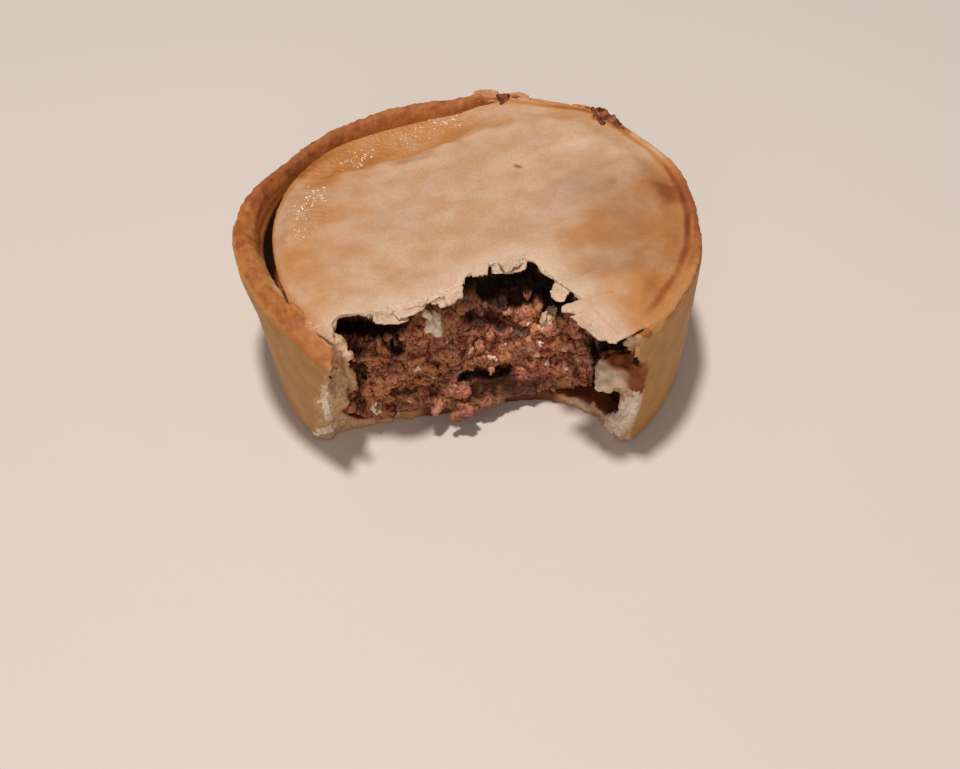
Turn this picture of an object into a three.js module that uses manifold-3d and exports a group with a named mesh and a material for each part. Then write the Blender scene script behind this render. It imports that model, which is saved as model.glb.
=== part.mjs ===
// A Scotch pie with one big bite out of its front: a raised pastry case, a pastry lid sunk
// inside its rim, and a coarse minced meat filling that shows in the bite.
// Millimetres, +Z up. The origin is the centre of the flat base, and the bite faces -Y.
import * as THREE from 'three';
import { ImprovedNoise } from 'three/addons/math/ImprovedNoise.js';
import { mergeVertices } from 'three/addons/utils/BufferGeometryUtils.js';
import Module from 'manifold-3d';

// Driving dimensions of the whole pie
const BASE_RADIUS = 45;
const RIM_RADIUS = 47.5;
const RIM_HEIGHT = 34;
const AROUND = 80; // facets round the pie
const FIT_GAP = 0.4; // air left between one piece and the next
const STEAM_GAP = 1; // air left between the meat and the lid where they lie closest

// The raised case
const FLOOR_THICKNESS = 3;
const WALL_THICKNESS = 4.5;
const RIM_THICKNESS = 3.8;
const RIM_ROUND = 1.5;
const HEEL_ROUND = 2.4; // where the wall turns into the base
const SEAT_HEIGHT = 29; // the wall is at its full thickness from here down
const UNEVEN = 0.7; // hand-raised drift of the wall
const UNEVEN_WAVES = 2.2;
const RIM_WAVE = 0.8; // rise and fall of the rim
const RIM_WAVES = 3;

// Where the rim leans out of round: angle and spread in degrees, and how far
const FLARES = [
  { angle: 182, spread: 42, reach: 2.3 },
  { angle: 50, spread: 28, reach: 2.2 },
  { angle: -12, spread: 26, reach: -0.8 },
];

// Where the wall is thicker below the lid: angle and spread in degrees, and by how much
const THICK_SPOT = { angle: -132, spread: 15, by: 1.8, from: 24 };

// Crags standing on the rim, or broken out of it: angle and spread in degrees, and height
const RIM_CRAGS = [
  { angle: 90, spread: 4, height: 1.7 },
  { angle: 78, spread: 5, height: 1.9 },
  { angle: 66, spread: 8, height: 0.9 },
  { angle: 54, spread: 6, height: 2.2 },
  { angle: 42, spread: 22, height: 0.8 },
  { angle: -125, spread: 9, height: -3.4 },
];

// The lid
const LID_THICKNESS = 2.3;
const LID_EDGE_HEIGHT = 32.9; // top of the lid where it meets the wall
const PUFF_RISE = 1.7; // the middle stands above the edge
const PUFF_RADIUS = 43;
const PUFF_SLOPE = 4;
const SHELF_DROP = 2.3; // a low, narrow shelf runs along the back left
const SHELF_WIDTH = 12;
const SHELF_ANGLE = 119;
const SHELF_SPREAD = 32;
const LID_RIPPLE = 0.55;
const RIPPLE_LENGTHS = [15, 11];
const FUSED_ANGLE = 17; // round this side the lid has baked on to the rim, level with it
const FUSED_SPREADS = [82, 63]; // degrees to either side where that starts, and where it is whole
const FUSED_RISE = 0.7;
const FUSED_REACH = [12, 0]; // the lid climbs to the rim between these distances from its edge
const FUSED_OVERLAP = 1.3; // and its edge lies this far over the rim
const LID_SLACK = 0.5; // elsewhere it has shrunk a little
const SHELF_SLACK = 0.55; // and a little more along the shelf
const LID_CRAGS = 0.4; // share of the rim's crags that its edge follows
const LID_RINGS = [0, 9, 18, 25, 29.5, 34, 38.5]; // radii that its top and underside are shaped at
const LID_HEADROOM = 4; // the rim is open this far above the lid's edge
const CRACK_WIDTH = 1.8; // the lid has shrunk away from the left of the wall
const CRACK_ANGLE = 186;
const CRACK_SPREAD = 34;
const CRACK_LIP = 2.6; // the lid's free edge curls down there
const CRACK_LIP_REACH = [4, 0];

// The filling: the meat has settled, so a dark gap opens under the lid towards the bite
const GAP_UNDER_LID = 5.7;
const GAP_START = -14; // the gap closes from this y
const GAP_END = 12; // and has closed by this one
const GAP_AT_CRACK = 3.5;
const GAP_AT_CRACK_REACH = [7, 0];

// How much deeper the gap gets from one x to another
const GAP_DROPS = [
  { from: -6, to: -18, by: 4 },
  { from: -16, to: -27, by: 4.5 },
  { from: 13, to: 24, by: 4 },
];
const CRUMB_COUNT = 42;
const CRUMB_SIZES = [1.5, 3.1];
const CRUMB_HEIGHTS = [4, 26];
const CRUMB_STRETCH = 1.15; // crumbs are longer across than they are deep
const CRUMB_FLATNESS = [0.7, 1];
const CRUMB_SUNK = 0.3; // share of a crumb's size that its centre lies behind the bitten face
const ROUND_CRUMBS = 12; // the largest have more facets
const LUMP_ROUGH = 0.2; // roughness of a lump, as a share of its size
const HANGING_CRUMB = { at: [-2.5, -25.8, 4.6], radii: [2.3, 2.3, 2.7] };

// The dough that hangs, torn, on the inside of the right horn
const TORN_FOLD = { at: [28.6, -29.4, 19.4], radii: [4.9, 4.6, 4.7] };
const FOLD_SPACE = 1.4; // size of the hollow round it to its own

// Flakes that hang off the lid's torn edge: centre, half sizes and turn about Z in degrees
const LID_FLAKES = [
  { at: [6.5, -13.2, 32.1], radii: [4.2, 1.5, 0.6], turn: 14 },
  { at: [-6.5, -22.6, 32], radii: [3, 1.5, 0.7], turn: 20 },
  { at: [-16, -27, 31.8], radii: [4, 1.3, 0.6], turn: 6 },
  { at: [16.5, -20.4, 31.6], radii: [2.6, 1.8, 0.7], turn: -48 },
  { at: [20.8, -26, 31.4], radii: [2.6, 1.5, 0.7], turn: -60 },
];

// Where teeth met each piece: the bitten edge from left to right, at the height of the base,
// how far its four corners have moved by the height of the rim, the heights it runs between,
// and how rough it was torn
const CASE_BITE = {
  edge: [[-29, -27], [-16.5, -23.7], [-4, -21.5], [8, -18.2], [17.8, -19], [25.5, -23.5], [28.3, -28.8]],
  front: [-62, 56],
  rise: { leftBack: [2.5, -3], rightBack: [3.2, -4], leftFront: [40, 0], rightFront: [-18, 0] },
  heights: [-6, 29.6],
  rough: 0.8,
  grain: 3.2,
};
const RIM_BITE = {
  edge: [[-26.5, -30], [-10, -24], [6, -24], [18, -27], [27.5, -31.5], [30.8, -35]],
  front: [-22, 38],
  rise: { leftBack: [0, 0], rightBack: [0, 0], leftFront: [0, 0], rightFront: [0, 0] },
  heights: [29, 42],
  rough: 0.6,
  grain: 2.6,
};
const LID_BITE = {
  edge: [
    [-27.2, -29.2], [-19.6, -27.6], [-12, -25.6], [-4, -21.4], [-1, -16.4], [4.8, -13.3],
    [9.6, -11.8], [14.3, -16.5], [19, -22.5], [22.4, -28.5], [24.8, -35],
  ],
  front: [-20, 62],
  rise: { leftBack: [0, 0], rightBack: [0, 0], leftFront: [0, 0], rightFront: [0, 0] },
  heights: [-6, 42],
  rough: 0.55,
  grain: 1.7,
};
const MEAT_BITE = {
  edge: [
    [-28.5, -28], [-17, -26.8], [-7, -25.6], [-1, -24.2], [6, -21.6], [13, -20.6], [19, -19.8], [24, -19.6],
  ],
  front: [-58, 75],
  rise: { leftBack: [0, 9], rightBack: [-3, 7], leftFront: [6, 0], rightFront: [-4, 0] },
  heights: [-6, 42],
  rough: 1.7,
  grain: 4.2,
};
// Slits where the meat has parted in the bite: centre, half sizes and turn about Y in degrees
const MEAT_SLITS = [
  { at: [6, -23, 10.5], radii: [5.2, 3.6, 1.1], turn: 6 },
  { at: [-14, -27.5, 7], radii: [5.6, 3, 0.9], turn: -3 },
  { at: [-19, -25, 17.5], radii: [4, 3.4, 2.2], turn: 18 },
  { at: [1, -19.5, 21.5], radii: [4.4, 3, 1.2], turn: -10 },
];
const BITE_REACH = -60; // the bite runs out past the front of the pie to this y
const BITE_SPREAD = 1.6; // power by which its sides run from the back to the front
const FINE_CELLS = [40, 16, 18]; // facets of a bite's faces across, deep and high
const COARSE_CELLS = [26, 8, 14];
const RIM_CELLS = [22, 8, 5];

const { smoothstep, lerp, degToRad } = THREE.MathUtils;
const GOLDEN = (Math.sqrt(5) - 1) / 2;
const perlin = new ImprovedNoise();
const wasm = await Module();
wasm.setup();

// A smooth hump round the pie, 1 at an angle given in degrees and fading over a spread
function hump(angle, centre, spread) {
  const turn = THREE.MathUtils.euclideanModulo(angle - degToRad(centre) + Math.PI, 2 * Math.PI) - Math.PI;
  return Math.exp(-((turn / degToRad(spread)) ** 2));
}

// Rough relief in each direction, for points a grain's size apart
function roughness(point, grain, height) {
  const p = point.clone().divideScalar(grain);
  return new THREE.Vector3(
    perlin.noise(p.x, p.y, p.z),
    perlin.noise(p.x + 31.4, p.y, p.z),
    perlin.noise(p.x, p.y + 47.2, p.z),
  ).multiplyScalar(2 * height);
}

// Moves every vertex of a geometry to where a function puts it
function shaped(geometry, place) {
  const position = geometry.getAttribute('position');
  for (let i = 0; i < position.count; i++) {
    const moved = place(new THREE.Vector3().fromBufferAttribute(position, i));
    position.setXYZ(i, moved.x, moved.y, moved.z);
  }
  return geometry;
}

// A closed geometry as a solid that can be joined and cut
function solid(geometry) {
  const bare = geometry.clone();
  bare.deleteAttribute('normal');
  bare.deleteAttribute('uv');
  const merged = mergeVertices(bare, 1e-4);
  const corners = merged.index.array;
  const triVerts = [];
  for (let i = 0; i < corners.length; i += 3) {
    const [a, b, c] = corners.slice(i, i + 3);
    if (a !== b && b !== c && c !== a) triVerts.push(a, b, c);
  }
  const vertProperties = merged.getAttribute('position').array;
  return new wasm.Manifold(
    new wasm.Mesh({ numProp: 3, vertProperties, triVerts: new Uint32Array(triVerts) }),
  );
}

// The largest body of a solid, as a named mesh
function piece(name, body, material) {
  const whole = body.decompose().reduce((a, b) => (a.volume() > b.volume() ? a : b));
  const { vertProperties, triVerts } = whole.getMesh();
  const geometry = new THREE.BufferGeometry();
  geometry.setAttribute('position', new THREE.BufferAttribute(vertProperties, 3));
  geometry.setIndex(new THREE.BufferAttribute(triVerts, 1));
  geometry.computeVertexNormals();
  const mesh = new THREE.Mesh(geometry, material);
  mesh.name = name;
  return mesh;
}

// A profile of [radius, height] points, from the axis underneath to the axis on top, turned about +Z
function turned(profile) {
  const points = profile.map(([r, z]) => new THREE.Vector2(r, z));
  return new THREE.LatheGeometry(points, AROUND).rotateX(Math.PI / 2);
}

// Points from one [radius, height] to another, in even steps, without the last
function run(from, to, steps) {
  return Array.from({ length: steps }, (_, i) => [
    lerp(from[0], to[0], i / steps),
    lerp(from[1], to[1], i / steps),
  ]);
}

// Raised pastry is never quite round: all the pieces share this drift from a true turned form
function drifted(point) {
  const angle = Math.atan2(point.y, point.x);
  const reach = Math.min(1, Math.hypot(point.x, point.y) / BASE_RADIUS);
  const height = Math.max(0, point.z / RIM_HEIGHT);
  const lean = FLARES.reduce((sum, f) => sum + f.reach * hump(angle, f.angle, f.spread), 0);
  const flare = lean * height ** 1.5;
  const [waveX, waveY] = [UNEVEN_WAVES * Math.cos(angle), UNEVEN_WAVES * Math.sin(angle)];
  const uneven = UNEVEN * perlin.noise(waveX, waveY, height);
  const push = (flare + uneven) * reach ** 2;
  return new THREE.Vector3(
    point.x + push * Math.cos(angle),
    point.y + push * Math.sin(angle),
    point.z,
  );
}

// Radius of the outside and the inside of the wall at a height, before it drifts
const outsideAt = (z) => lerp(BASE_RADIUS, RIM_RADIUS, z / RIM_HEIGHT);
const insideAt = (z) => outsideAt(z) - WALL_THICKNESS;

// 0 at the first of two distances in from the lid's edge and 1 at the second
function nearEdge(x, y, reach) {
  const edge = insideAt(SEAT_HEIGHT) - 2;
  return smoothstep(Math.hypot(x, y), edge - reach[0], edge - reach[1]);
}

// Draws a point of the wall's inside further in where the wall is thick
function thickened(point) {
  const { angle, spread, by, from } = THICK_SPOT;
  const radius = Math.hypot(point.x, point.y);
  const below = 1 - smoothstep(point.z, from, SEAT_HEIGHT);
  const inward = by * hump(Math.atan2(point.y, point.x), angle, spread) * below;
  const share = radius > inward ? 1 - inward / radius : 1;
  return new THREE.Vector3(point.x * share, point.y * share, point.z);
}

// Rise and fall of the rim, with a share of its crags
function rimRise(angle, share = 1) {
  const wave = RIM_WAVE * perlin.noise(RIM_WAVES * Math.cos(angle), RIM_WAVES * Math.sin(angle), 7.7);
  return RIM_CRAGS.reduce((sum, c) => sum + share * c.height * hump(angle, c.angle, c.spread), wave);
}

// What a bite takes away: a block whose back is the bitten edge and whose sides tear the wall
function bite({ edge, front, rise, heights, rough, grain }, cells) {
  const curve = new THREE.SplineCurve(edge.map(([x, y]) => new THREE.Vector2(x, y)));
  return shaped(new THREE.BoxGeometry(1, 1, 1, ...cells), (cell) => {
    const across = cell.x + 0.5;
    const forward = (0.5 - cell.y) ** BITE_SPREAD;
    const z = lerp(heights[0], heights[1], cell.z + 0.5);
    const back = curve.getPoint(across);
    const point = new THREE.Vector3(
      lerp(back.x, lerp(front[0], front[1], across), forward),
      lerp(back.y, BITE_REACH, forward),
      z,
    );
    for (const axis of [0, 1]) {
      const atBack = lerp(rise.leftBack[axis], rise.rightBack[axis], across);
      const atFront = lerp(rise.leftFront[axis], rise.rightFront[axis], across);
      const moved = lerp(atBack, atFront, forward) * (z / RIM_HEIGHT);
      point.setComponent(axis, point.getComponent(axis) + moved);
    }
    return point.add(roughness(point, grain, rough));
  });
}

// An uneven lump with a few dozen facets, as rough as its grain is small
function lump(at, radii, facets, rough) {
  const centre = new THREE.Vector3(...at);
  return shaped(new THREE.IcosahedronGeometry(1, facets), (p) => {
    const point = p.multiply(new THREE.Vector3(...radii)).add(centre);
    return point.add(roughness(point, Math.min(...radii), rough));
  });
}

// How far the lid has baked on to the rim at an angle, from 0 to 1
function fusedAt(angle) {
  const [none, whole] = FUSED_SPREADS.map((spread) => Math.cos(degToRad(spread)));
  return smoothstep(Math.cos(angle - degToRad(FUSED_ANGLE)), none, whole);
}

// Height of the lid's top: a puffed middle that steps down to a narrow shelf at the back left
function lidTop(x, y) {
  const angle = Math.atan2(y, x);
  const radius = Math.hypot(x, y);
  const shelf = hump(angle, SHELF_ANGLE, SHELF_SPREAD);
  const puffEdge = PUFF_RADIUS - SHELF_WIDTH * shelf;
  const puff = 1 - smoothstep(radius, puffEdge - PUFF_SLOPE, puffEdge);
  const ripple = LID_RIPPLE * perlin.noise(x / RIPPLE_LENGTHS[0], y / RIPPLE_LENGTHS[1], 4.3);
  const atEdge = nearEdge(x, y, FUSED_REACH);
  const low = LID_EDGE_HEIGHT - SHELF_DROP * shelf;
  const middle = lerp(low, LID_EDGE_HEIGHT + PUFF_RISE, puff) + ripple * (1 - atEdge);
  return middle + fusedAt(angle) * atEdge * (FUSED_RISE + rimRise(angle, LID_CRAGS));
}

// Height of the lid's underside, which curls down at the crack on the left
function lidUnder(x, y) {
  const crack = hump(Math.atan2(y, x), CRACK_ANGLE, CRACK_SPREAD);
  return lidTop(x, y) - LID_THICKNESS - CRACK_LIP * crack * nearEdge(x, y, CRACK_LIP_REACH);
}

// Depth of the dark gap between the meat and the lid, open at the bite and shut further in
function settled(x, y) {
  const towardsBite = 1 - smoothstep(y, GAP_START, GAP_END);
  const drop = GAP_DROPS.reduce((sum, { from, to, by }) => {
    const share = THREE.MathUtils.clamp((x - from) / (to - from), 0, 1);
    return sum + by * smoothstep(share, 0, 1);
  }, GAP_UNDER_LID);
  const crack = hump(Math.atan2(y, x), CRACK_ANGLE, CRACK_SPREAD);
  return Math.max(drop * towardsBite, GAP_AT_CRACK * crack * nearEdge(x, y, GAP_AT_CRACK_REACH));
}

// The case before the bite, with some air round its inside and its rim where room is asked for
function caseSolid(room = 0) {
  const wall = outsideAt(RIM_HEIGHT - RIM_ROUND);
  const inside = (z) => insideAt(z) - room;
  const floor = FLOOR_THICKNESS + room;
  const profile = [
    [0, 0],
    ...run([BASE_RADIUS - HEEL_ROUND, 0], [BASE_RADIUS - 0.3 * HEEL_ROUND, 0.3 * HEEL_ROUND], 1),
    ...run([BASE_RADIUS - 0.3 * HEEL_ROUND, 0.3 * HEEL_ROUND], [outsideAt(HEEL_ROUND), HEEL_ROUND], 1),
    ...run([outsideAt(HEEL_ROUND), HEEL_ROUND], [wall, RIM_HEIGHT - RIM_ROUND], 7),
    [wall, RIM_HEIGHT - RIM_ROUND],
    [wall - 0.3 * RIM_ROUND, RIM_HEIGHT - 0.3 * RIM_ROUND],
    [wall - RIM_ROUND, RIM_HEIGHT + room],
    [wall - RIM_THICKNESS + 0.7 * RIM_ROUND - room, RIM_HEIGHT - 0.2 * RIM_ROUND + room],
    [wall - RIM_THICKNESS - room, RIM_HEIGHT - RIM_ROUND],
    ...run([inside(SEAT_HEIGHT), SEAT_HEIGHT], [inside(floor + 4), floor + 4], 3),
    [inside(floor + 4), floor + 4],
    [inside(floor) - 1.2, floor + 1.2],
    [inside(floor) - 4, floor],
    [0, floor],
  ];
  return shaped(turned(profile), (p) => {
    const within = Math.hypot(p.x, p.y) < insideAt(p.z) + 0.1 && p.z >= FLOOR_THICKNESS;
    const moved = drifted(within ? thickened(p) : p);
    moved.z += rimRise(Math.atan2(p.y, p.x)) * smoothstep(p.z, SEAT_HEIGHT, RIM_HEIGHT);
    return moved;
  });
}

// The lid before the bite, with air under it, round it and above it where they are asked for
function lidSolid(room = 0, around = 0, headroom = 0) {
  const edge = insideAt(LID_EDGE_HEIGHT - LID_THICKNESS) - FIT_GAP;
  const under = 0;
  const top = 1;
  const topEdge = headroom > 0 ? 1.5 : 0.8;
  const profile = [
    ...LID_RINGS.map((radius) => [radius, under]),
    [edge - 1, under],
    [edge, 0.35],
    [edge + 1.5, 0.85],
    [edge + topEdge, top],
    ...LID_RINGS.map((radius) => [radius, top]).reverse(),
  ];
  return shaped(turned(profile), (p) => {
    const angle = Math.atan2(p.y, p.x);
    const crack = CRACK_WIDTH * hump(angle, CRACK_ANGLE, CRACK_SPREAD);
    const slack = LID_SLACK + SHELF_SLACK * hump(angle, SHELF_ANGLE, SHELF_SPREAD);
    const reach = lerp(-slack, FUSED_OVERLAP, fusedAt(angle)) - crack + around;
    const stretch = 1 + (reach / edge) * (Math.hypot(p.x, p.y) / edge) ** 6;
    const level = lerp(lidUnder(p.x, p.y) - room, lidTop(p.x, p.y), p.z);
    const raised = p.z === top ? level + headroom : level;
    return drifted(new THREE.Vector3(p.x * stretch, p.y * stretch, raised));
  });
}

// The meat before the bite, pressed a little into the case and the lid that are then cut from it
function fillingSolid() {
  const pressed = 1;
  const floor = FLOOR_THICKNESS - pressed;
  const wallTop = 24;
  const topRows = 7;
  const profile = [
    [0, floor],
    [insideAt(floor) + pressed, floor],
    ...run([insideAt(wallTop) + pressed, wallTop], [0, wallTop], topRows),
    [0, wallTop],
  ];
  return shaped(turned(profile), (p) => {
    const level = lidUnder(p.x, p.y) + pressed - settled(p.x, p.y);
    return drifted(new THREE.Vector3(p.x, p.y, p.z === wallTop ? level : p.z));
  });
}

// Crumbs of mince that stand out of the bitten face, larger ones first, on a golden-ratio scatter
function crumbs() {
  const curve = new THREE.SplineCurve(MEAT_BITE.edge.map(([x, y]) => new THREE.Vector2(x, y)));
  const { leftBack, rightBack } = MEAT_BITE.rise;
  return Array.from({ length: CRUMB_COUNT }, (_, i) => {
    const size = lerp(CRUMB_SIZES[1], CRUMB_SIZES[0], i / (CRUMB_COUNT - 1));
    const across = (i * GOLDEN + 0.5) % 1;
    const z = lerp(...CRUMB_HEIGHTS, (i * Math.SQRT2) % 1);
    const back = curve.getPoint(across);
    const rise = z / RIM_HEIGHT;
    const at = [
      back.x + lerp(leftBack[0], rightBack[0], across) * rise,
      back.y + lerp(leftBack[1], rightBack[1], across) * rise + CRUMB_SUNK * size,
      z,
    ];
    const height = size * lerp(...CRUMB_FLATNESS, (i * Math.E) % 1);
    const facets = i < ROUND_CRUMBS ? 1 : 0;
    return solid(lump(at, [size * CRUMB_STRETCH, size, height], facets, LUMP_ROUGH * size));
  });
}

function slit({ at, radii, turn }) {
  const gap = lump([0, 0, 0], radii, 1, LUMP_ROUGH * radii[2]);
  return solid(gap.rotateY(degToRad(turn)).translate(...at));
}

function flake({ at, radii, turn }) {
  const shard = lump([0, 0, 0], radii, 1, LUMP_ROUGH * radii[1]);
  return solid(shard.rotateZ(degToRad(turn)).translate(...at));
}

// The torn fold of dough, or with a swell the space that it takes up in the meat
function tornFold(swell = 1) {
  const fold = lump([0, 0, 0], TORN_FOLD.radii, 2, LUMP_ROUGH * TORN_FOLD.radii[0]);
  return solid(fold.scale(swell, swell, swell).translate(...TORN_FOLD.at));
}

function bakedCase(material) {
  const teeth = solid(bite(CASE_BITE, COARSE_CELLS)).add(solid(bite(RIM_BITE, RIM_CELLS)));
  const fusedSide = [Math.cos(degToRad(FUSED_ANGLE)), Math.sin(degToRad(FUSED_ANGLE)), 0];
  const seat = solid(lidSolid(FIT_GAP, FIT_GAP, LID_HEADROOM)).trimByPlane(fusedSide, 1);
  const raised = solid(caseSolid()).subtract(seat).subtract(teeth);
  return piece('pastry_case', raised.add(tornFold()), material);
}

function bakedLid(material) {
  const bitten = solid(lidSolid()).subtract(solid(bite(LID_BITE, FINE_CELLS)));
  const torn = LID_FLAKES.reduce((body, each) => body.add(flake(each)), bitten);
  return piece('pastry_lid', torn, material);
}

function meatFilling(material) {
  const pastry = solid(caseSolid(FIT_GAP)).add(solid(lidSolid(STEAM_GAP))).add(tornFold(FOLD_SPACE));
  const whole = solid(fillingSolid()).subtract(pastry);
  const bitten = whole.subtract(solid(bite(MEAT_BITE, COARSE_CELLS)));
  const face = crumbs().reduce((body, crumb) => body.add(crumb), bitten);
  const parted = MEAT_SLITS.reduce((body, each) => body.subtract(slit(each)), face);
  const hanging = solid(lump(HANGING_CRUMB.at, HANGING_CRUMB.radii, 1, LUMP_ROUGH * HANGING_CRUMB.radii[0]));
  return piece('meat_filling', parted.intersect(whole).add(hanging), material);
}

const pastry = new THREE.MeshStandardMaterial({ color: 0xcfa87a, roughness: 0.7, metalness: 0 });
const glazedPastry = new THREE.MeshStandardMaterial({ color: 0xd9b48a, roughness: 0.5, metalness: 0 });
const mince = new THREE.MeshStandardMaterial({ color: 0x7d4b40, roughness: 0.65, metalness: 0 });

const pie = new THREE.Group();
pie.name = 'scotch_pie';
pie.add(bakedCase(pastry), bakedLid(glazedPastry), meatFilling(mince));

export default pie;
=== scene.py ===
"""A Scotch pie with one big bite out of its front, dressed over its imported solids.

Metres, +Z up. The origin is the centre of the flat base, and the bite faces -Y.
"""

import logging
import math
from collections.abc import Sequence
from dataclasses import dataclass
from enum import Enum, IntEnum
from typing import Any

import bpy
import numpy as np
from mathutils import Matrix, Vector
from mathutils.kdtree import KDTree


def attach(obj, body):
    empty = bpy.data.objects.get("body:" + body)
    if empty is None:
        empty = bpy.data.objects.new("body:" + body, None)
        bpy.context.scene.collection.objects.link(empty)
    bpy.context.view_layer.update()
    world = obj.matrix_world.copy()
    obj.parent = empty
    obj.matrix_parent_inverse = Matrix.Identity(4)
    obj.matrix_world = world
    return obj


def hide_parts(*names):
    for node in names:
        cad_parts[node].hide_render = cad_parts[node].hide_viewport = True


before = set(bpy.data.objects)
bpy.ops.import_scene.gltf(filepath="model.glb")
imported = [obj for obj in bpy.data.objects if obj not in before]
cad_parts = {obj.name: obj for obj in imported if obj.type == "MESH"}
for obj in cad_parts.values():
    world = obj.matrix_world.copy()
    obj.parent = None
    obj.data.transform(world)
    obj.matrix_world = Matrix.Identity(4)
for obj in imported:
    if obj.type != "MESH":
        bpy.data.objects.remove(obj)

MM = 0.001
LOG = logging.getLogger("pie")
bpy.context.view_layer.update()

Colour = tuple[float, float, float, float]
Spot = tuple[float, float]
Place = tuple[float, float, float]
Line = Sequence[Spot] | Sequence[Place]


class Mask(str, Enum):
    """What is painted on the points of a piece, from 0 to 1."""

    TOAST = "toast"
    # Burnt crust, and painted shade in the crack beside the lid and on the case's inner wall under it.
    BURN = "burn_and_shade"
    TORN = "torn"
    GREASE = "grease"
    MAUVE = "mauve"
    # Pale crumb on the crust; on the mince, painted light on the left and right of the bitten face.
    PALE_AND_PAINTED_LIGHT = "pale"
    # Each crumb's own tone on the mince; on the lid, painted shade over its right side.
    TONE_AND_SHADE = "tone"
    # Painted shade: darkens the mince in its clefts, hollows and gaps and under the lid.
    PAINTED_SHADE = "painted_shade"
    RED = "red"


class Slot(str, Enum):
    """The record's material slots."""

    CASE = "case_pastry"
    LID = "lid_pastry"
    MINCE = "mince"


class Seed(IntEnum):
    """What each noise and each scatter is drawn from, so that every run gives the same pie."""

    TONES = 3
    SWELLS = 5
    MINCE = 7
    CASE_COLOUR = 11
    CREASE = 19
    LID_COLOUR = 23
    CRUMBS = 31
    CHUNKS = 32
    BURNT = 33
    PALE_AND_PAINTED_LIGHT_CRUMBS = 34
    FAT = 37
    BEADS = 38
    RIM = 41
    RIM_INSIDE = 42
    TEAR = 43
    WELD = 45
    PEEL = 61
    CLUMPS = 71
    ROOF = 73
    HOLLOWS = 74
    BITS = 91


class Relief:
    """Seeded gradient noise over space, about -1 to 1."""

    def __init__(self, seed: int) -> None:
        """Draws the table of slopes.

        Args:
            seed: Picks the pattern.
        """
        draw = np.random.default_rng(seed)
        self.order = np.tile(draw.permutation(256), 2)
        slopes = draw.normal(size=(256, 3))
        self.slopes = slopes / np.linalg.norm(slopes, axis=1, keepdims=True)

    def at(self, points: np.ndarray) -> np.ndarray:
        """Reads one octave of the noise.

        Args:
            points: Places in units of the noise's grain, one row each.

        Returns:
            One value for each point.
        """
        cell = np.floor(points).astype(int)
        inside = points - cell
        ease = inside**3 * (inside * (inside * 6 - 15) + 10)
        total = np.zeros(len(points))
        for corner in np.ndindex(2, 2, 2):
            step = np.array(corner)
            a, b, c = ((cell + step) & 255).T
            slope = self.slopes[self.order[self.order[self.order[a] + b] + c]]
            share = np.where(step, ease, 1 - ease).prod(axis=1)
            total += share * ((inside - step) * slope).sum(axis=1)
        return 1.6 * total

    def fractal(self, points: np.ndarray, octaves: int = 3, gain: float = 0.5) -> np.ndarray:
        """Adds up octaves of the noise, each half the grain of the last.

        Args:
            points: Places in units of the largest grain.
            octaves: How many are added.
            gain: Strength of each to the last.

        Returns:
            One value for each point, about -1 to 1.
        """
        total = np.zeros(len(points))
        for octave in range(octaves):
            total += gain**octave * self.at(points * 2.0**octave + 17.3 * octave)
        return total / sum(gain**octave for octave in range(octaves))

    def lumps(self, points: np.ndarray) -> np.ndarray:
        """Gives round lumps with sharp clefts between them, about -0.3 to 0.7."""
        return np.abs(self.at(points)) + 0.5 * np.abs(self.at(2.1 * points + 7.7)) - 0.3


def smooth(values: np.ndarray, low: float, high: float) -> np.ndarray:
    """Eases values from 0 at low to 1 at high.

    Args:
        values: What is eased.
        low: Where the result is 0. It may be above high.
        high: Where the result is 1.

    Returns:
        Values from 0 to 1.
    """
    share = np.clip((values - low) / (high - low), 0, 1)
    return share * share * (3 - 2 * share)


def polar(points: np.ndarray) -> tuple[np.ndarray, np.ndarray]:
    """Gives each point's angle round the pie in degrees and its radius in millimetres.

    Args:
        points: Places in millimetres.

    Returns:
        Angles from -180 to 180, and radii.
    """
    return np.degrees(np.arctan2(points[:, 1], points[:, 0])), np.hypot(points[:, 0], points[:, 1])


def ring(angle: float, radius: float) -> Spot:
    """Turns an angle in degrees and a radius into a spot on the plan."""
    return radius * math.cos(math.radians(angle)), radius * math.sin(math.radians(angle))


def round_the_pie(angles: np.ndarray, stops: Sequence[Spot]) -> np.ndarray:
    """Reads a value that changes round the pie.

    Args:
        angles: Angles in degrees.
        stops: Angles from -180 to 180 in rising order, each with its value.

    Returns:
        One value for each angle, read straight from stop to stop.
    """
    at, values = np.array(stops).T
    return np.interp(angles, at, values, period=360)


def left_to_right(points: np.ndarray, stops: Sequence[Spot]) -> np.ndarray:
    """Reads a value that changes across the bite.

    Args:
        points: Places in millimetres.
        stops: Distances to the right in rising order, each with its value.

    Returns:
        One value for each point, read straight from stop to stop.
    """
    at, values = np.array(stops).T
    return np.interp(points[:, 0], at, values)


def from_line(points: np.ndarray, line: Line) -> np.ndarray:
    """Measures how far points lie from a line, on the plan or in space.

    Args:
        points: Places in millimetres.
        line: Corners of the line; where they have no height, only x and y count.

    Returns:
        One distance for each point.
    """
    nearest = np.full(len(points), np.inf)
    flat = points[:, : len(line[0])]
    for start, end in zip(line[:-1], line[1:]):
        a, b = np.array(start), np.array(end)
        along = np.clip(((flat - a) @ (b - a)) / max(1e-9, (b - a) @ (b - a)), 0, 1)
        nearest = np.minimum(nearest, np.linalg.norm(flat - a - along[:, None] * (b - a), axis=1))
    return nearest


def stroke(points: np.ndarray, line: Line, width: float, soft: float) -> np.ndarray:
    """Paints a soft stroke along a line.

    Args:
        points: Places in millimetres.
        line: Corners of the line, in millimetres.
        width: Half width that is fully painted.
        soft: How far it takes to fade beyond that.

    Returns:
        Values from 0 to 1.
    """
    return smooth(from_line(points, line), width + soft, width)


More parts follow.
